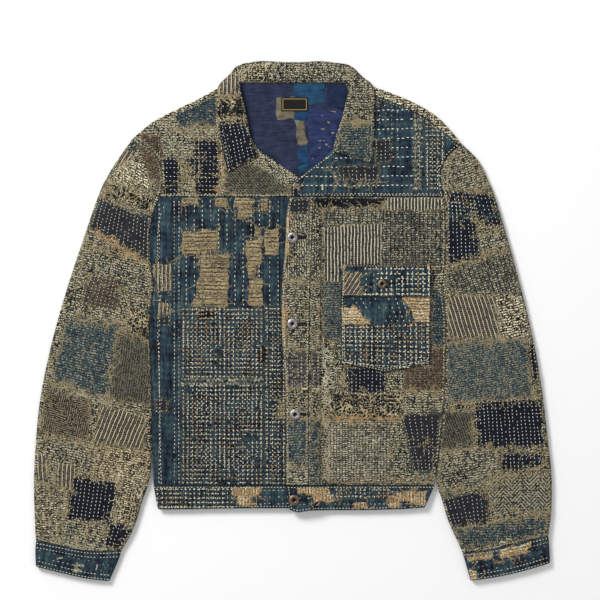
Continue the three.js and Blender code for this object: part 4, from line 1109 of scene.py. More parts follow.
# Cloth, turn of its grain in degrees, corners in picture pixels and how many patches lie below it.
# Corners are left, top, right, bottom, or four points from the upper left round by the right.
patchTables = {
    "front_right": [
        ("deepDenim", 0, (181, 307, 263, 378), 0), ("deepDenim", 0, (181, 383, 263, 484), 0),
        ("deepDenim", 0, (264, 306, 286, 484), 0), ("wornCloth", 0, (181, 376, 263, 385), 1),
        ("darkPlain", 0, ((258, 342), (270, 346), (267, 366), (255, 362)), 1),
        ("darkPlain", 0, ((196, 309), (220, 309), (217, 318), (199, 319)), 1),
        ("stripedCloth", 0, (154, 264, 171, 291), 0), ("stripedCloth", 0, (159, 303, 170, 314), 0),
        ("charcoal", 0, (157, 314, 171, 326), 0), ("charcoal", 0, (154, 398, 169, 412), 0),
        ("tornBeige", 0, (181, 198, 198, 205), 0), ("tornBeige", 0, (215, 198, 228, 206), 0),
        ("tornBeige", 0, ((235, 198), (254, 198), (252, 216), (238, 219)), 0),
        ("tornBeige", 0, (260, 198, 268, 211), 0),
        ("tornBeige", 0, ((183, 232), (218, 229), (216, 250), (181, 255)), 0),
        ("tornBeige", 0, (254, 226, 261, 236), 0),
        ("tornBeige", 0, ((264, 230), (278, 228), (278, 255), (265, 254)), 0),
        ("tornBeige", 0, ((245, 241), (262, 238), (261, 264), (247, 265)), 0),
        ("tornBeige", 0, (247, 262, 256, 278), 1),
        ("tornBeige", 0, ((203, 252), (229, 255), (227, 304), (193, 307)), 0),
        ("tornBeige", 0, (249, 280, 262, 306), 0), ("tornBeige", 0, (277, 399, 285, 418), 1),
        ("tornBeige", 0, ((193, 300), (227, 300), (228, 306), (192, 306)), 1),
    ],
    "yoke_right": [
        ("tealTweed", 0, ((170, 96), (214, 84), (220, 124), (176, 130)), 0),
        ("brownTweed", 10, ((139, 134), (162, 134), (163, 186), (155, 186)), 0),
        ("nightCloth", 90, (161, 157, 180, 196), 0), ("nightCloth", 90, (193, 138, 219, 196), 0),
        ("nightCloth", 90, (184, 156, 200, 178), 1),
        ("darkTwill", 0, ((224, 158), (262, 168), (296, 194), (224, 196)), 0),
    ],
    "yoke_left": [
        ("charcoal", 0, (374, 139, 391, 163), 0), ("charcoal", 0, (337, 165, 379, 181), 0),
        ("charcoal", 0, (375, 97, 387, 108), 0), ("wornCloth", 0, (412, 98, 421, 190), 0),
        ("deepDenim", 0, (424, 120, 444, 190), 0), ("tornBeige", 0, (292, 183, 299, 190), 0),
    ],
    "front_left": [
        ("stripedTweed", 0, (322, 198, 387, 225), 0), ("fineStripe", 0, (386, 197, 442, 210), 1),
        ("stripedTweed", 0, (380, 209, 445, 264), 0),
        ("fineStripe", 0, ((323, 227), (381, 222), (381, 282), (323, 281)), 0),
        ("greyTeal", 0, (322, 281, 341, 340), 0), ("tealTweed", 0, (430, 288, 446, 347), 0),
        ("brownTweed", 0, (430, 346, 446, 368), 0), ("brownTweed", 0, (402, 366, 446, 390), 0),
        ("nightCloth", 0, (345, 366, 386, 394), 0), ("frayedNight", 0, (328, 391, 402, 419), 0),
        ("checkTweed", 0, (327, 420, 390, 482), 0), ("oliveTweed", 0, (389, 440, 431, 479), 0),
        ("charcoal", 0, ((399, 414), (440, 412), (438, 472), (413, 471)), 1),
        ("collarTweed", 90, (310, 198, 322, 281), 0), ("oliveTweed", 0, (310, 281, 321, 347), 0),
        ("mauveCloth", 0, (310, 347, 320, 387), 0), ("frayedTweed", 0, (310, 387, 320, 417), 0),
        ("tealTweed", 0, (309, 417, 320, 484), 0),
        ("darkPlain", 0, ((311, 197), (386, 197), (380, 207), (312, 209)), 1),
    ],
    "placket_left": [
        ("charcoal", 0, (288, 198, 309, 214), 0), ("collarTweed", 90, (284, 214, 309, 281), 0),
        ("oliveTweed", 0, (281, 281, 309, 347), 0), ("mauveCloth", 0, (285, 347, 308, 387), 0),
        ("frayedTweed", 0, (286, 387, 308, 417), 0), ("tealTweed", 0, (286, 417, 308, 465), 0),
        ("greyTweed", 0, (286, 465, 308, 484), 0), ("orangeBeige", 90, (281.6, 309, 286, 346), 1),
        ("orangeBeige", 90, (285, 216, 289.4, 256), 1),
    ],
    "pocket_flap": [
        ("stripedCloth", -35, (342, 272, 361, 295), 0), ("denim", 0, (361, 271, 377, 293), 0),
    ],
    "chest_pocket": [
        ("denim", 0, ((341, 296), (405, 296), (412, 322), (360, 322)), 0),
        ("orangeBeige", 0, ((341, 306), (356, 306), (370, 324), (341, 324)), 1),
        ("orangeBeige", 0, ((402, 296), (429, 296), (429, 321), (414, 321)), 1),
    ],
    "waistband_right": [
        ("deepDenim", 0, (155, 486, 234, 508), 0),
        ("orangeBeige", 90, ((229, 487), (260, 486), (259, 494), (232, 496)), 1),
        ("orangeBeige", 90, (236, 493, 252, 504), 1),
    ],
    "waistband_left": [
        ("orangeBeige", 90, ((297, 486), (326, 486), (331, 494), (298, 493)), 0),
        ("orangeBeige", 90, ((311, 493), (333, 493), (336, 501), (314, 501)), 0),
        ("deepDenim", 0, (334, 486, 390, 498), 0),
        ("orangeBeige", 90, ((352, 501), (366, 501), (367, 507), (354, 507)), 1),
        ("orangeBeige", 90, ((388, 496), (399, 491), (426, 490), (425, 506)), 0),
        ("orangeBeige", 90, (387, 497, 400, 506), 1),
    ],
    "sleeve_right": [
        ("oliveTweed", -30, ((113, 172), (147, 184), (151, 216), (99, 196)), 0),
        ("beigeTweed", -30, ((124, 160), (150, 164), (150, 192), (111, 182)), 1),
        ("deepDenim", -30, ((131, 141), (139, 135), (136, 148), (126, 150)), 0),
        ("brownTweed", -20, ((138, 137), (160, 150), (162, 190), (146, 178)), 1),
        ("stripedCloth", -32, ((125, 150), (135, 152), (121, 168), (116, 162)), 2),
        ("frayedNight", -14, ((107, 180), (150, 195), (151, 212), (101, 195)), 1),
        ("charcoal", -14, ((99, 197), (150, 218), (149, 262), (89, 226)), 0),
        ("oliveTweed", -14, ((88, 228), (149, 265), (152, 304), (76, 268)), 0),
        ("dottedBrown", -14, ((90, 274), (124, 279), (118, 312), (80, 303)), 1),
        ("frayedNight", -14, ((130, 306), (151, 314), (150, 341), (126, 330)), 1),
        ("tealTweed", -14, ((68, 314), (120, 322), (110, 398), (51, 378)), 0),
        ("darkTwill", -50, ((118, 328), (150, 340), (151, 406), (108, 398)), 0),
        ("brownTwill", 30, ((47, 380), (92, 396), (88, 440), (40, 432)), 0),
        ("stripedCloth", -22, ((100, 404), (147, 416), (143, 449), (92, 444)), 1),
        ("pinkTweed", -8, ((95, 445), (150, 450), (147, 483), (91, 482)), 0),
        ("stripedCloth", 4, ((37, 452), (49, 455), (47, 481), (36, 479)), 1),
        ("stripedCloth", -4, ((57, 461), (78, 464), (76, 489), (55, 486)), 1),
        ("dottedOlive", 0, ((36, 482), (66, 486), (64, 537), (37, 535)), 0),
        ("nightCloth", -4, ((72, 474), (119, 480), (112, 522), (66, 518)), 1),
        ("dashTweed", -10, ((119, 474), (148, 474), (134, 524), (113, 522)), 0),
        ("nightCloth", -8, ((107, 522), (134, 522), (121, 548), (103, 546)), 0),
    ],
    "sleeve_left": [
        ("oliveTweed", 20, ((452, 152), (470, 154), (488, 190), (443, 190)), 0),
        ("nightCloth", 16, ((443, 190), (492, 193), (504, 228), (446, 220)), 0),
        ("nightCloth", 10, ((446, 199), (475, 203), (481, 262), (446, 264)), 1),
        ("frayedTweed", 14, ((476, 226), (504, 226), (512, 252), (480, 256)), 1),
        ("stripedTweed", 20, ((446, 264), (511, 250), (521, 294), (445, 293)), 0),
        ("stripedCloth", 17, ((446, 294), (494, 296), (500, 338), (447, 339)), 1),
        ("beigeTweed", 14, ((494, 296), (522, 296), (531, 340), (499, 338)), 0),
        ("greyTeal", 12, ((447, 340), (526, 334), (531, 398), (446, 402)), 0),
        ("nightCloth", 12, ((526, 341), (534, 341), (539, 384), (531, 384)), 1),
        ("nightCloth", 10, ((472, 400), (540, 396), (545, 446), (475, 448)), 0),
        ("darkTwill", -20, ((441, 410), (473, 412), (472, 449), (440, 448)), 0),
        ("oliveTweed", 8, ((439, 450), (498, 446), (500, 486), (438, 492)), 0),
        ("nightCloth", 4, ((499, 452), (543, 452), (545, 474), (499, 474)), 1),
        ("charcoal", 0, ((440, 499), (486, 486), (488, 527), (451, 528)), 0),
        ("herringbone", 0, ((487, 472), (548, 468), (550, 512), (489, 510)), 0),
        ("tealTweed", 0, ((452, 527), (546, 512), (545, 535), (462, 548)), 0),
    ],
    "cuff_left": [
        ("orangeBeige", 12, ((498, 549), (531, 541), (529, 551), (500, 558)), 0),
        ("orangeBeige", 12, ((467, 568), (475, 570), (477, 578), (470, 579)), 0),
        ("orangeBeige", 12, ((465, 556), (492, 552), (492, 557), (467, 561)), 0),
    ],
    "cuff_right": [("wornCloth", 0, ((74, 561), (84, 563), (82, 572), (73, 570)), 0)],
    "collar": [
        ("dashTweed", 0, ((243, 65), (273, 63), (273, 83), (244, 84)), 0),
        ("stripedCloth", 0, ((222, 72), (239, 72), (242, 95), (216, 95)), 0),
        ("frayedNight", 0, ((216, 96), (243, 96), (247, 120), (216, 121)), 0),
        ("nightCloth", 0, ((214, 119), (249, 118), (262, 168), (226, 186)), 0),
        ("oliveTweed", 0, ((345, 66), (372, 76), (373, 122), (341, 122)), 0),
        ("tealTweed", 0, ((341, 123), (373, 123), (371, 161), (333, 156)), 0),
    ],
    "back_lining": [
        ("liningTeal", 0, ((294, 82), (324, 82), (326, 102), (294, 107)), 0),
        ("liningNavy", 0, ((325, 82), (353, 84), (349, 112), (327, 106)), 0),
        ("liningUltra", 0, ((308, 107), (347, 113), (331, 154), (309, 170)), 0),
        ("liningKhaki", 0, (276, 97, 294, 120), 0), ("liningBlue", 0, (294, 108, 308, 121), 0),
        ("liningKhaki", 0, ((294, 120), (304, 120), (307, 145), (297, 145)), 0),
        ("liningBlue", 0, ((297, 145), (307, 145), (309, 163), (298, 166)), 0),
        ("liningTeal", 0, ((298, 166), (309, 163), (311, 172), (299, 174)), 1),
    ],
}

patches = {node: addPatches(node, table, seed) for seed, (node, table) in enumerate(patchTables.items())}
print("patches made")


# Stitches and loose threads

stitch = {
    "lift": 0.12,
    "heightShare": 0.36,         # of a stitch's width
    "steepest": 0.6,             # upward part of the slope's normal, below which no stitch is sewn
    "lengthShares": (0.75, 1.2),
    "thickWidth": 1.25,          # stitches wider than this are worn off in places
    "wornShare": 0.5,
    "wornSize": 46,
    "threadEach": 7,             # stitches before the thread changes
    "ahead": 0.004,              # share of an edge, to find a row's direction
    "sway": 0.5,
    "turn": 0.1,                 # radians
}
loose = {
    "radius": 0.36,
    "lift": 0.28,
    "points": 9,
    "fewest": 4,
    "step": (1.3, 2.6),
    "across": 0.3,               # share of the threads that don't run with the edge
    "turn": 1.6,                 # and how far they turn from it, in radians
}
buttonhole = {"period": 1.2, "length": 2.6, "width": 1.7, "edgeStart": 0.4, "edgePeriod": 0.95,
              "edgeAway": 1.5, "edgeLength": 2.4, "edgeWidth": 1.0}
tack = {"reach": 4, "count": 10, "slant": 80, "length": 3.4, "width": 0.95}
shadowLineSewing = ("night", 2.2, 3.6, 1.1)        # dark thread painted as the shadow along folds and vents: thread, period, length and width
collarSewing = ("sand", 4.8, 3.2, 1.0)
collarInsets = (4, 9)
patchFray = {"each": 6.4, "wander": 0.8, "spread": 1.8}
lineFray = {"each": 5.2, "wander": 0.55, "spread": 0.9}


class ThreadBag:                 # the stitches and loose threads of one panel, gathered by thread
    def __init__(self, name, surface):
        self.name, self.surface, self.rows, self.loose = name, surface, {}, {}

    def add(self, thread, places, angle, length, width, cover, chance, bare=False):
        kept = self.rows.setdefault(thread, [])
        x, y = places[:, 0], places[:, 1]
        wornShare = stitch["wornShare"] if width > stitch["thickWidth"] else 0.0
        worn = smoothstep(ripple(x, y, stitch["wornSize"], 77), 0.55, 1.0) * wornShare
        for k in range(len(x)):
            if chance.random() > cover * (1 - worn[k]):
                continue
            found = self.surface.under(x[k], y[k])
            if not found or found[1].z < stitch["steepest"] or (bare and found[2]):
                continue
            size = length * chance.uniform(*stitch["lengthShares"])
            kept.append((found[0], found[1], angle[k], size, width, chance.random()))


# The threads that a row is sewn with by turns, each with its share
threadMixes = {"cream": [("cream", 0.56), ("sand", 0.32), ("orange", 0.12)],
               "sand": [("sand", 0.55), ("cream", 0.27), ("orange", 0.18)],
               "white": [("white", 0.72), ("cream", 0.28)]}


def pickThread(name, chance):
    names, shares = zip(*threadMixes[name])
    return chance.choices(names, shares)[0]


def mean(a, b):
    return (a + b) / 2


def directionOf(here, ahead):
    step = ahead - here
    return np.arctan2(step[..., 1], step[..., 0])


def runRows(bag, bounds, row, across, seed, bare=False):
    thread, pitch, period, length, width, cover = row
    chance = random.Random(seed)
    lengthU, lengthV = lengthsOf(bounds, mean)
    if across:
        lengthU, lengthV = lengthV, lengthU
    lanes, count = max(1, int(lengthU / pitch)), max(1, int(lengthV / period))
    lane = (np.arange(lanes) + 0.5) / lanes
    for k in range(lanes):
        along = (np.arange(count) + chance.uniform(0.35, 0.65)) / count
        along = along[along < 0.995]
        aside = lane[k] + stitch["sway"] / lengthU * ripple(along * lengthV, 0 * along + k * 40, 30, seed)
        u, v = (along, aside) if across else (aside, along)
        u, v = np.clip(u, 0.01, 0.99), np.clip(v, 0.01, 0.99)
        here = between(bounds, u, v)
        ahead = between(bounds, u + stitch["ahead"] * across, v + stitch["ahead"] * (not across))
        angle = directionOf(here, ahead)
        angle = angle + np.array([chance.uniform(-stitch["turn"], stitch["turn"]) for _ in along])
        for first in range(0, len(along), stitch["threadEach"]):
            part = slice(first, first + stitch["threadEach"])
            bag.add(pickThread(thread, chance), here[part], angle[part], length, width, cover, chance, bare)


def runAlong(bag, path, thread, period, length, width, seed, cover=0.95):
    total = pathLength(path)
    at = (np.arange(int(total / period)) + 0.5) * period / total
    here, ahead = pointsOn(path, at), pointsOn(path, np.minimum(at + stitch["ahead"], 1))
    bag.add(thread, here, directionOf(here, ahead), length, width, cover, random.Random(seed))


def stitchMesh(bag):
    capsule = bmesh.new()
    bmesh.ops.create_icosphere(capsule, subdivisions=1, radius=1)
    base = np.array([tuple(vert.co) for vert in capsule.verts])
    faces = np.array([[vert.index for vert in face.verts] for face in capsule.faces])
    capsule.free()
    made = []
    for thread, rows in bag.rows.items():
        if not rows:
            continue
        points, tones = [], []
        for spot, normal, angle, length, width, tone in rows:
            local = base * (length / 2, width / 2, width * stitch["heightShare"])
            c, s = math.cos(angle), math.sin(angle)
            x, y = local[:, 0] * c - local[:, 1] * s, local[:, 0] * s + local[:, 1] * c
            z = local[:, 2] - (normal.x * x + normal.y * y) / normal.z
            points.append(np.stack([x + spot.x, y + spot.y, z + spot.z + stitch["lift"]], -1))
            tones.append(tone)
        allPoints = np.concatenate(points) * mm
        allFaces = (faces[None] + np.arange(len(rows))[:, None, None] * len(base)).reshape(-1, 3)
        data = bpy.data.meshes.new(f"stitches_{bag.name}_{thread}")
        data.from_pydata(allPoints.tolist(), [], allFaces.tolist())
        values = data.attributes.new("tone", "FLOAT", "POINT")
        values.data.foreach_set("value", np.repeat(np.array(tones, np.float32), len(base)))
        data.shade_smooth()
        data.materials.append(threads[thread])
        made.append(addPiece(data.name, data))
    return made


def frayAround(bag, bounds, thread, seed, fray):
    chance = random.Random(seed)
    kept = bag.loose.setdefault(thread, [])
    border = joined(bounds["low"], bounds["end"], bounds["high"][::-1], bounds["start"][::-1])
    for _ in range(int(pathLength(border) / fray["each"])):
        at = chance.random()
        here, ahead = pointsOn(border, [at, (at + 0.01) % 1])
        heading = math.atan2(*(ahead - here)[::-1])
        if chance.random() >= 1 - loose["across"]:
            heading += chance.uniform(-loose["turn"], loose["turn"])
        x, y = here[0] + chance.gauss(0, fray["spread"]), here[1] + chance.gauss(0, fray["spread"])
        run, turn = [], chance.uniform(-0.3, 0.3)
        for _ in range(loose["points"]):
            found = bag.surface.under(x, y)
            if not found:
                break
            run.append(found[0] + Vector((0, 0, loose["lift"])))
            turn = turn * 0.5 + chance.gauss(0, fray["wander"])
            heading += turn
            step = chance.uniform(*loose["step"])
            x, y = x + math.cos(heading) * step, y + math.sin(heading) * step
            heading -= turn * 0.5
        if len(run) >= loose["fewest"]:
            kept.append(run)


def looseMesh(bag):
    made = []
    for thread, runs in bag.loose.items():
        if not runs:
            continue
        curve = bpy.data.curves.new("loose", "CURVE")
        curve.dimensions, curve.bevel_depth, curve.bevel_resolution = "3D", loose["radius"] * mm, 0
        curve.use_fill_caps = True
        for run in runs:
            spline = curve.splines.new("POLY")
            spline.points.add(len(run) - 1)
            for point, spot in zip(spline.points, run):
                point.co = (*(spot * mm), 1)
        holder = bpy.data.objects.new("loose", curve)
        bpy.context.scene.collection.objects.link(holder)
        data = bpy.data.meshes.new_from_object(holder.evaluated_get(bpy.context.evaluated_depsgraph_get()))
        bpy.data.objects.remove(holder)
        bpy.data.curves.remove(curve)
        data.name = f"threads_{bag.name}_{thread}"
        data.materials.clear()
        data.materials.append(threads[thread])
        made.append(addPiece(data.name, data))
    return made


# Rows of stitches by cloth: thread, 1 where they run across, pitch, period, length, width, share kept
clothStitches = {
    "nightCloth": [("white", 0, 6.0, 5.2, 2.5, 1.24, 0.9)],
    "frayedNight": [("white", 0, 7.0, 6.0, 2.4, 1.2, 0.5)],
    "charcoal": [("white", 0, 6.2, 5.0, 2.1, 1.2, 0.85)],
    "deepDenim": [("cream", 0, 6.8, 6.0, 4.1, 1.55, 0.95), ("cream", 1, 6.4, 6.0, 4.0, 1.5, 0.88)],
    "mauveCloth": [("cream", 0, 6.4, 5.4, 2.6, 1.1, 0.75)],
    "denim": [("cream", 0, 9.6, 6.8, 3.8, 1.4, 0.75)],
    "greyTweed": [("cream", 0, 7.5, 6.2, 2.6, 1.1, 0.4)],
    "oliveTweed": [("sand", 0, 7.5, 6.2, 2.4, 1.1, 0.4)],
    "tealTweed": [("sand", 0, 7.2, 6.4, 2.4, 1.0, 0.2)],
    "beigeTweed": [("cream", 0, 7.0, 5.8, 2.6, 1.1, 0.4)],
    "brownTweed": [("sand", 0, 7.0, 6.0, 2.2, 1.0, 0.45)],
    "pinkTweed": [("cream", 0, 6.4, 5.6, 2.4, 1.1, 0.6)],
    "dottedOlive": [("cream", 0, 6.2, 5.0, 2.0, 1.1, 0.7)],
    "dottedBrown": [("white", 0, 6.0, 4.8, 1.9, 1.15, 0.85)],
    "wornCloth": [("sand", 0, 5.0, 4.6, 2.6, 0.95, 0.6)],
    "greyTeal": [("sand", 0, 8.0, 7.0, 2.0, 0.9, 0.35)],
    "frayedTweed": [("sand", 0, 7.4, 6.4, 2.6, 1.1, 0.4)],
    "stripedTweed": [("sand", 0, 8.0, 7.0, 2.4, 1.0, 0.35)],
}
frayed = {
    "tornBeige": "straw", "nightCloth": "straw", "frayedNight": "straw", "frayedTweed": "straw",
    "beigeTweed": "sand", "oliveTweed": "straw", "greyTweed": "sand", "tealTweed": "straw",
    "pinkTweed": "straw", "charcoal": "paleTeal", "dottedOlive": "straw", "stripedCloth": "straw",
    "deepDenim": "paleTeal", "dashTweed": "cream", "herringbone": "straw", "darkTwill": "straw",
    "brownTwill": "straw", "orangeBeige": "orange",
}
# Rows on the bare panel: thread, across, pitch, period, length, width, share, region in picture pixels
runTables = {
    "front_right": [
        ("cream", 0, 11.6, 6.8, 4.0, 1.45, 0.95, (182, 199, 263, 306)),
        ("cream", 0, 8.6, 6.8, 3.8, 1.35, 0.93, (265, 199, 282, 306)),
        ("cream", 0, 12, 6.4, 3.8, 1.35, 0.95, (155, 199, 163, 484)),
        ("cream", 0, 5.0, 5.8, 3.6, 1.35, 0.9, (172, 199, 181, 484)),
    ],
    "yoke_right": [
        ("sand", 1, 6.2, 5.4, 2.8, 1.1, 0.6, ((165, 105), (215, 95), (224, 196), (165, 196))),
        ("cream", 0, 4.0, 5.0, 3.2, 1.3, 0.9, (219, 130, 224, 196)),
    ],
    "yoke_left": [
        ("white", 1, 12.8, 7.0, 4.6, 1.5, 0.95, ((300, 100), (442, 94), (442, 190), (300, 190))),
        ("cream", 1, 4.0, 5.6, 3.6, 1.2, 0.92, (297, 191, 443, 196)),
        ("cream", 0, 9.0, 6.0, 3.0, 1.1, 0.6, ((376, 96), (400, 96), (400, 160), (376, 140))),
    ],
    "front_left": [("sand", 0, 7.0, 6.0, 2.8, 1.1, 0.5, (322, 284, 445, 484))],
    "pocket_flap": [
        ("cream", 0, 7.4, 6.2, 4.6, 2.1, 0.95, (362, 266, 430, 296)),
        ("cream", 1, 7.2, 6.2, 4.6, 2.1, 0.92, (362, 266, 430, 296)),
    ],
    "chest_pocket": [
        ("cream", 0, 8.0, 6.0, 4.2, 1.75, 0.96, ((341, 325), (429, 322), (429, 371), (341, 364))),
        ("cream", 1, 7.0, 6.0, 4.2, 1.75, 0.94, ((341, 325), (429, 322), (429, 371), (341, 364))),
    ],
    "waistband_right": [("cream", 1, 8.0, 6.6, 3.6, 1.1, 0.85, (182, 486, 303, 506))],
    "waistband_left": [("cream", 1, 8.0, 6.6, 3.6, 1.1, 0.85, (297, 488, 425, 506))],
    "sleeve_right": [
        ("sand", 0, 7.0, 5.8, 2.6, 1.1, 0.5, ((84, 240), (150, 250), (134, 545), (38, 535))),
    ],
    "sleeve_left": [
        ("sand", 0, 7.0, 5.8, 2.6, 1.1, 0.5, ((446, 200), (506, 240), (546, 530), (458, 545))),
    ],
    "cuff_right": [("sand", 1, 9.0, 7.0, 3.0, 1.0, 0.5, ((38, 545), (118, 563), (112, 574), (38, 560)))],
    "cuff_left": [("sand", 1, 6.0, 6.4, 3.0, 1.1, 0.6, ((464, 555), (546, 538), (547, 556), (470, 576)))],
    "collar": [("sand", 1, 5.0, 5.2, 2.6, 1.0, 0.55, (275, 66, 344, 82))],
    "shoulder_edge_left": [
        ("cream", 1, 4.0, 5.0, 3.0, 1.0, 0.8, ((372, 86), (445, 108), (460, 146), (380, 100))),
    ],
}
# Seam stitching: edge of the panel, distance in from it, thread, period and length
seamTables = {
    "front_right": [("start", 12, "cream", 5.6, 3.6)],
    "front_left": [("start", 3, "cream", 5.6, 3.4)],
    "placket_left": [("start", 2.6, "cream", 4.6, 3.0), ("end", 2.4, "cream", 4.8, 3.0)],
    "yoke_right": [
        ("low", 2.4, "cream", 4.6, 3.0), ("end", 3.0, "cream", 4.6, 3.0), ("start", 3.0, "sand", 5, 3.2),
        ("high", 2.5, "sand", 5, 3.0),
    ],
    "yoke_left": [
        ("low", 2.4, "cream", 4.6, 3.0), ("end", 3.0, "cream", 4.6, 3.0), ("start", 3.0, "cream", 5, 3.2),
        ("high", 2.5, "sand", 5, 3.0),
    ],
    "pocket_flap": [
        ("high", 2.2, "orange", 4.4, 3.0), ("low", 3.0, "orange", 4.4, 3.0),
        ("start", 2.4, "cream", 4.6, 3.0), ("end", 2.4, "cream", 4.6, 3.0),
    ],
    "chest_pocket": [
        ("start", 2.6, "cream", 4.6, 3.0), ("end", 2.6, "cream", 4.6, 3.0),
        ("low", 3.0, "cream", 4.6, 3.0), ("low", 6.0, "cream", 4.6, 3.0),
    ],
    "waistband_right": [("high", 2.4, "cream", 4.6, 3.0), ("low", 3.0, "cream", 4.6, 3.0)],
    "waistband_left": [
        ("high", 2.4, "cream", 4.6, 3.0), ("low", 3.0, "cream", 4.6, 3.0),
        ("end", 3.0, "cream", 4.6, 3.0),
    ],
    "cuff_right": [
        ("low", 3.0, "cream", 4.8, 3.2), ("low", 9.0, "cream", 4.8, 3.2),
        ("high", 2.6, "cream", 4.8, 3.2), ("high", 9, "cream", 5.0, 3.4),
    ],
    "cuff_left": [
        ("low", 3.0, "cream", 4.8, 3.2), ("low", 9.0, "sand", 4.8, 3.2), ("high", 2.6, "cream", 4.8, 3.2),
        ("high", 9, "cream", 5.0, 3.4),
    ],
    "sleeve_right": [("low", 3.0, "sand", 5.4, 3.2), ("high", 3.0, "sand", 5.0, 3.2)],
    "sleeve_left": [("low", 3.0, "sand", 5.4, 3.2), ("high", 3.0, "sand", 5.0, 3.2)],
}
# In picture pixels: buttonholes from the button's side outwards, bar tacks as middle, direction and
# thread, dark lines painted as the shadow along pressed folds and vents (at the left front partly a dark
# stitched line), and lines of loose threads where cloths meet
holes = {
    "placket_left": [
        ((297.5, 237.4), (306.5, 236.6)), ((297.4, 323.2), (306.4, 323)), ((299.6, 413), (308, 413.2)),
    ],
    "waistband_left": [((298.6, 498.2), (306.5, 498.4))],
    "pocket_flap": [((386.5, 283), (394, 282.6))],
    "cuff_right": [((55, 550.5), (65.5, 553))],
    "cuff_left": [((527, 548.5), (537, 546.5))],
}
tacks = {
    "sleeve_left": [(502, 541, -12, "cream"), (508, 538, -12, "sand")],
    "pocket_flap": [(344, 266, 90, "orange"), (427, 266, 90, "orange")],
    "placket_left": [(304, 388, 0, "cream"), (293, 196.5, 0, "cream")],
    "front_left": [(316, 388, 0, "sand"), (323, 340, 90, "orange")],
    "cuff_right": [(97, 566, 76, "sand"), (60, 557, 8, "sand")],
    "yoke_left": [(322, 187, 90, "cream")],
}
paintedShadowLines = {
    "front_right": [((263.3, 199), (263.4, 483)), ((278.7, 199), (278.3, 483))],
    "front_left": [((320.4, 199), (319.6, 340)), ((319.6, 340), (319.3, 483))],
    "sleeve_left": [((509, 545.5), (536, 539))],
    "cuff_right": [((99.7, 557), (96.5, 572))],
}
frayLines = {
    "front_left": [
        ((323, 338), (326, 404), "cream"), ((322, 408), (328, 480), "sand"),
        ((322, 416), (400, 417), "orange"), ((330, 482), (430, 481), "straw"),
        ((402, 390), (446, 391), "straw"), ((311, 209), (384, 208), "straw"),
    ],
    "placket_left": [
        ((284, 281), (309, 282), "straw"), ((286, 348), (309, 347), "sand"),
        ((286, 416), (309, 416), "straw"),
    ],
    "sleeve_right": [
        ((88, 229), (148, 263), "orange"), ((84, 244), (140, 262), "straw"),
        ((66, 316), (120, 324), "straw"), ((50, 384), (110, 402), "sand"),
        ((44, 436), (92, 446), "straw"), ((40, 536), (120, 552), "sand"),
    ],
    "sleeve_left": [
        ((446, 266), (512, 246), "straw"), ((446, 342), (530, 338), "straw"),
        ((446, 404), (540, 396), "straw"), ((438, 495), (546, 463), "straw"),
        ((452, 528), (546, 512), "straw"), ((447, 214), (500, 216), "paleTeal"),
    ],
    "yoke_right": [
        ((170, 130), (220, 124), "straw"), ((181, 158), (196, 196), "straw"),
        ((221, 126), (221, 194), "orange"),
    ],
    "collar": [((216, 121), (247, 120), "straw"), ((341, 122), (373, 122), "straw")],
    "yoke_left": [((330, 166), (338, 184), "straw"), ((338, 184), (380, 182), "straw")],
}


def insetEdge(bounds, edge, distance):
    middle = np.mean([bounds[key].mean(0) for key in ("low", "high", "start", "end")], 0)
    path = pointsOn(bounds[edge], np.linspace(0, 1, 60))
    options = [shifted(path, distance * turn) for turn in (1, -1)]
    return min(options, key=lambda option: np.hypot(*(option - middle).T).mean())


def sewHole(bag, ends, seed):
    # the dark bar of stitches is partly the buttonhole's dark stitching and partly painted shade in its slit
    path = np.array(toMillimetres(ends))
    runAlong(bag, path, "night", buttonhole["period"], buttonhole["length"], buttonhole["width"], seed, 1.0)
    total = pathLength(path)
    middle = pointsOn(path, np.arange(buttonhole["edgeStart"], total, buttonhole["edgePeriod"]) / total)
    chance, turn = random.Random(seed), math.atan2(*(path[1] - path[0])[::-1]) + math.pi / 2
    for side in (1, -1):
        spots = middle + np.array([math.cos(turn), math.sin(turn)]) * buttonhole["edgeAway"] * side
        bag.add("night", spots, np.full(len(spots), turn), buttonhole["edgeLength"],
                buttonhole["edgeWidth"], 1.0, chance)


def sewTack(bag, x, y, turn, thread, seed):
    middle = np.array(toMillimetres([(x, y)])[0])
    along = np.array([math.cos(math.radians(turn)), math.sin(math.radians(turn))])
    spots = middle + np.linspace(-tack["reach"], tack["reach"], tack["count"])[:, None] * along
    slant = np.full(tack["count"], math.radians(turn + tack["slant"]))
    bag.add(thread, spots, slant, tack["length"], tack["width"], 1.0, random.Random(seed))


# A row's seed is worked out from the panel's place among the panels and the row's own.
def sewPatches(bag, name, seed):
    for number, (cloth, turn, corners, layer) in enumerate(patchTables.get(name, [])):
        bounds = patchBounds(corners)
        for k, (thread, across, *row) in enumerate(clothStitches.get(cloth, [])):
            runRows(bag, bounds, (thread, *row), across != (turn == 90), seed * 999 + number * 10 + k)
        if cloth in frayed:
            frayAround(bag, bounds, frayed[cloth], seed * 555 + number, patchFray)


def sewPanel(bag, name, seed):
    for number, (thread, across, *row, corners) in enumerate(runTables.get(name, [])):
        runRows(bag, patchBounds(corners), (thread, *row), across, seed * 77 + number, bare=True)
    for number, (edge, inset, thread, period, length) in enumerate(seamTables.get(name, [])):
        path = insetEdge(panelBounds[name], edge, inset)
        runAlong(bag, path, thread, period, length, stitch["thickWidth"], seed * 31 + number)
    for number, (here, there, thread) in enumerate(frayLines.get(name, [])):
        below = [(x + 0.4, y + 0.8) for x, y in (there, here)]
        frayAround(bag, patchBounds((here, there, *below)), thread, seed * 61 + number, lineFray)
    for number, ends in enumerate(holes.get(name, [])):
        sewHole(bag, ends, seed * 41 + number)
    for number, row in enumerate(tacks.get(name, [])):
        sewTack(bag, *row, seed * 43 + number)
    # dark thread lines painted as the shadow along pressed folds and vents
    for number, ends in enumerate(paintedShadowLines.get(name, [])):
        runAlong(bag, np.array(toMillimetres(ends)), *shadowLineSewing, seed * 47 + number, 1.0)


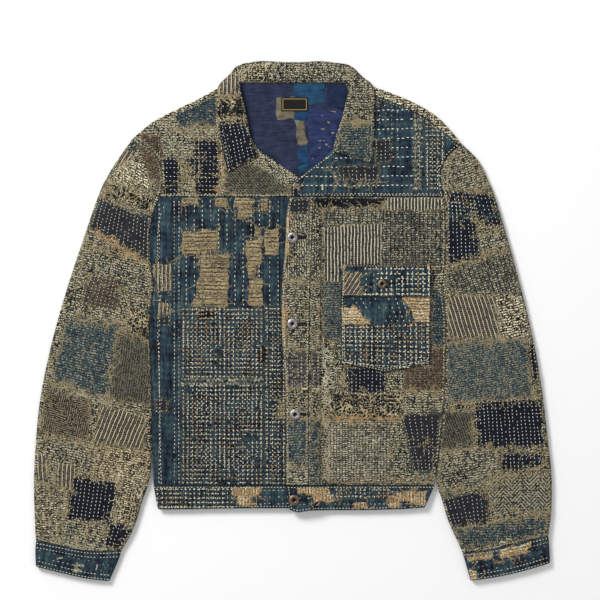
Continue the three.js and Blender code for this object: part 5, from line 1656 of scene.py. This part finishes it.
def sewCollar(bag):
    rows = np.array(collarRows)
    outer, inner = smoothPath(rows[:, 0:2], 160), smoothPath(rows[:, 2:4], 160)
    away = (inner - outer) / np.hypot(*(inner - outer).T)[:, None]
    for inset in collarInsets:
        runAlong(bag, outer + away * inset, *collarSewing, inset)


dressing = {}
for seed, (name, panel) in enumerate(panels.items()):
    bag = ThreadBag(name, Surface(panel, patches[name]) if name in patches else Surface(panel))
    sewPatches(bag, name, seed)
    sewPanel(bag, name, seed)
    if name == "collar":
        sewCollar(bag)
    dressing[name] = stitchMesh(bag) + looseMesh(bag)
sewn = [piece for group in dressing.values() for piece in group]
print("stitches and threads made", sum(len(piece.data.polygons) for piece in sewn))


# Buttons

buttonSizes = {"radius": 8.25, "height": 3.2, "steps": 48, "shadedHollow": 0.32, "outerEdge": 0.95}
buttonPlaces = {
    "button_front_1": (-1, 125, 1.0, "silver"), "button_front_2": (-1, -4, 1.0, "silver"),
    "button_front_3": (3, -139.5, 1.0, "silver"), "button_front_4": (1.5, -267, 1.0, "copper"),
    "button_pocket": (133, 55.5, 0.86, "copper"),
}
buttonProfile = [
    (0, 0.0), (0.93, 0.0), (0.985, 0.06), (1, 0.2), (0.985, 0.38), (0.93, 0.58), (0.86, 0.74),
    (0.78, 0.84), (0.70, 0.93), (0.62, 0.98), (0.54, 1.0), (0.47, 0.97), (0.41, 0.88), (0.37, 0.72),
    (0.33, 0.48), (0.29, 0.3), (0.2, 0.24), (0.09, 0.26), (0, 0.32),
]


def metalMaterial(name, shine, dull):
    material, new = startMaterial(name)
    x, y, z = new.objectPlace(3)
    worn = new.noise(x / 2.2, y / 2.2, 3, 1.0)
    colour = new.colour((worn + (z.fract() - 0.5) * 0.1).ease(0.35, 0.65), dull, shine)
    # low tone paints the metal near-black: painted shade in a button's hollow middle, and a darker side of
    # its rim
    colour = new.colour(new.attribute("tone").ease(0.1, 0.9), scaled(dull, 0.06), colour)
    return endMaterial(material, new, {"Base Color": colour, "Roughness": 0.62 - worn * 0.3, "Metallic": 0.85,
                                       "Normal": new.bump(worn, 0.3, 0.0002)})


metals = {"silver": metalMaterial("silverMetal", (0.50, 0.47, 0.46), (0.20, 0.18, 0.18)),
          "copper": metalMaterial("copperMetal", (0.30, 0.215, 0.155), (0.08, 0.055, 0.045))}


def makeButton(name, x, y, scale, finish):
    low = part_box(name)[0][2] / mm
    radius, height = buttonSizes["radius"] * scale, buttonSizes["height"]
    mesh = bmesh.new()
    toneLayer = mesh.verts.layers.float.new("tone")
    verts = [mesh.verts.new(Vector((r * radius, 0, h * height)) * mm) for r, h in buttonProfile]
    for vert, (r, h) in zip(verts, buttonProfile):
        # tone 0 paints the hollow middle near-black as its shade, and 0.45 paints the side of the rim darker
        vert[toneLayer] = 0.0 if r < buttonSizes["shadedHollow"] else 0.45 if r > buttonSizes["outerEdge"] else 1.0
    outline = [mesh.edges.new(pair) for pair in zip(verts, verts[1:])]
    bmesh.ops.spin(mesh, geom=verts + outline, cent=(0, 0, 0), axis=(0, 0, 1), angle=math.tau,
                   steps=buttonSizes["steps"], use_merge=True)
    closeMesh(mesh)
    bmesh.ops.translate(mesh, verts=mesh.verts[:], vec=Vector((x, y, low)) * mm)
    piece = finishMesh(name + "_metal", mesh, [metals[finish]])
    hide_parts(name)


for name, row in buttonPlaces.items():
    makeButton(name, *row)
print("buttons made")


# Floor, light and camera, in metres

studio = {"cameraHeight": 3.2, "viewWidth": 0.9, "middleX": 0.0105, "middleY": 0.0315, "sensor": 36,
          "floorSize": 12.0, "floorHeight": -0.0004, "floorPale": 0.93, "sky": 0.5}
lights = {"keyLight": ((-1.9, 2.1, 2.3), 1.3, 118), "fillLight": ((1.8, -1.2, 2.8), 2.2, 12)}


def placed(name, data, place):
    made = bpy.data.objects.new(name, data)
    made.location = place
    bpy.context.scene.collection.objects.link(made)
    return made


def makeFloor():
    mesh = bmesh.new()
    bmesh.ops.create_grid(mesh, x_segments=2, y_segments=2, size=studio["floorSize"] / 2)
    data = bpy.data.meshes.new("floor")
    mesh.to_mesh(data)
    mesh.free()
    material, new = startMaterial("paleFloor")
    pale = (studio["floorPale"],) * 3 + (1,)
    data.materials.append(endMaterial(material, new, {"Base Color": pale, "Roughness": 0.9}))
    placed("floor", data, (0, 0, studio["floorHeight"]))


def addLight(name, place, size, power):
    lamp = bpy.data.lights.new(name, "AREA")
    lamp.shape, lamp.size, lamp.energy = "DISK", size, power
    placed(name, lamp, place).rotation_euler = (-Vector(place)).to_track_quat("-Z", "Y").to_euler()


def makeWorld():
    world = bpy.data.worlds.new("studio")
    world.use_nodes = True
    background = world.node_tree.nodes["Background"]
    background.inputs["Color"].default_value = (1, 1, 1, 1)
    background.inputs["Strength"].default_value = studio["sky"]
    bpy.context.scene.world = world


makeFloor()
for name, row in lights.items():
    addLight(name, *row)
makeWorld()
bpy.context.scene.view_settings.view_transform = "Standard"
lens = bpy.data.cameras.new("camera")
lens.sensor_width = studio["sensor"]
lens.lens = studio["sensor"] * studio["cameraHeight"] / studio["viewWidth"]
cameraPlace = (studio["middleX"], studio["middleY"], studio["cameraHeight"])
bpy.context.scene.camera = placed("camera", lens, cameraPlace)

print("scene made")
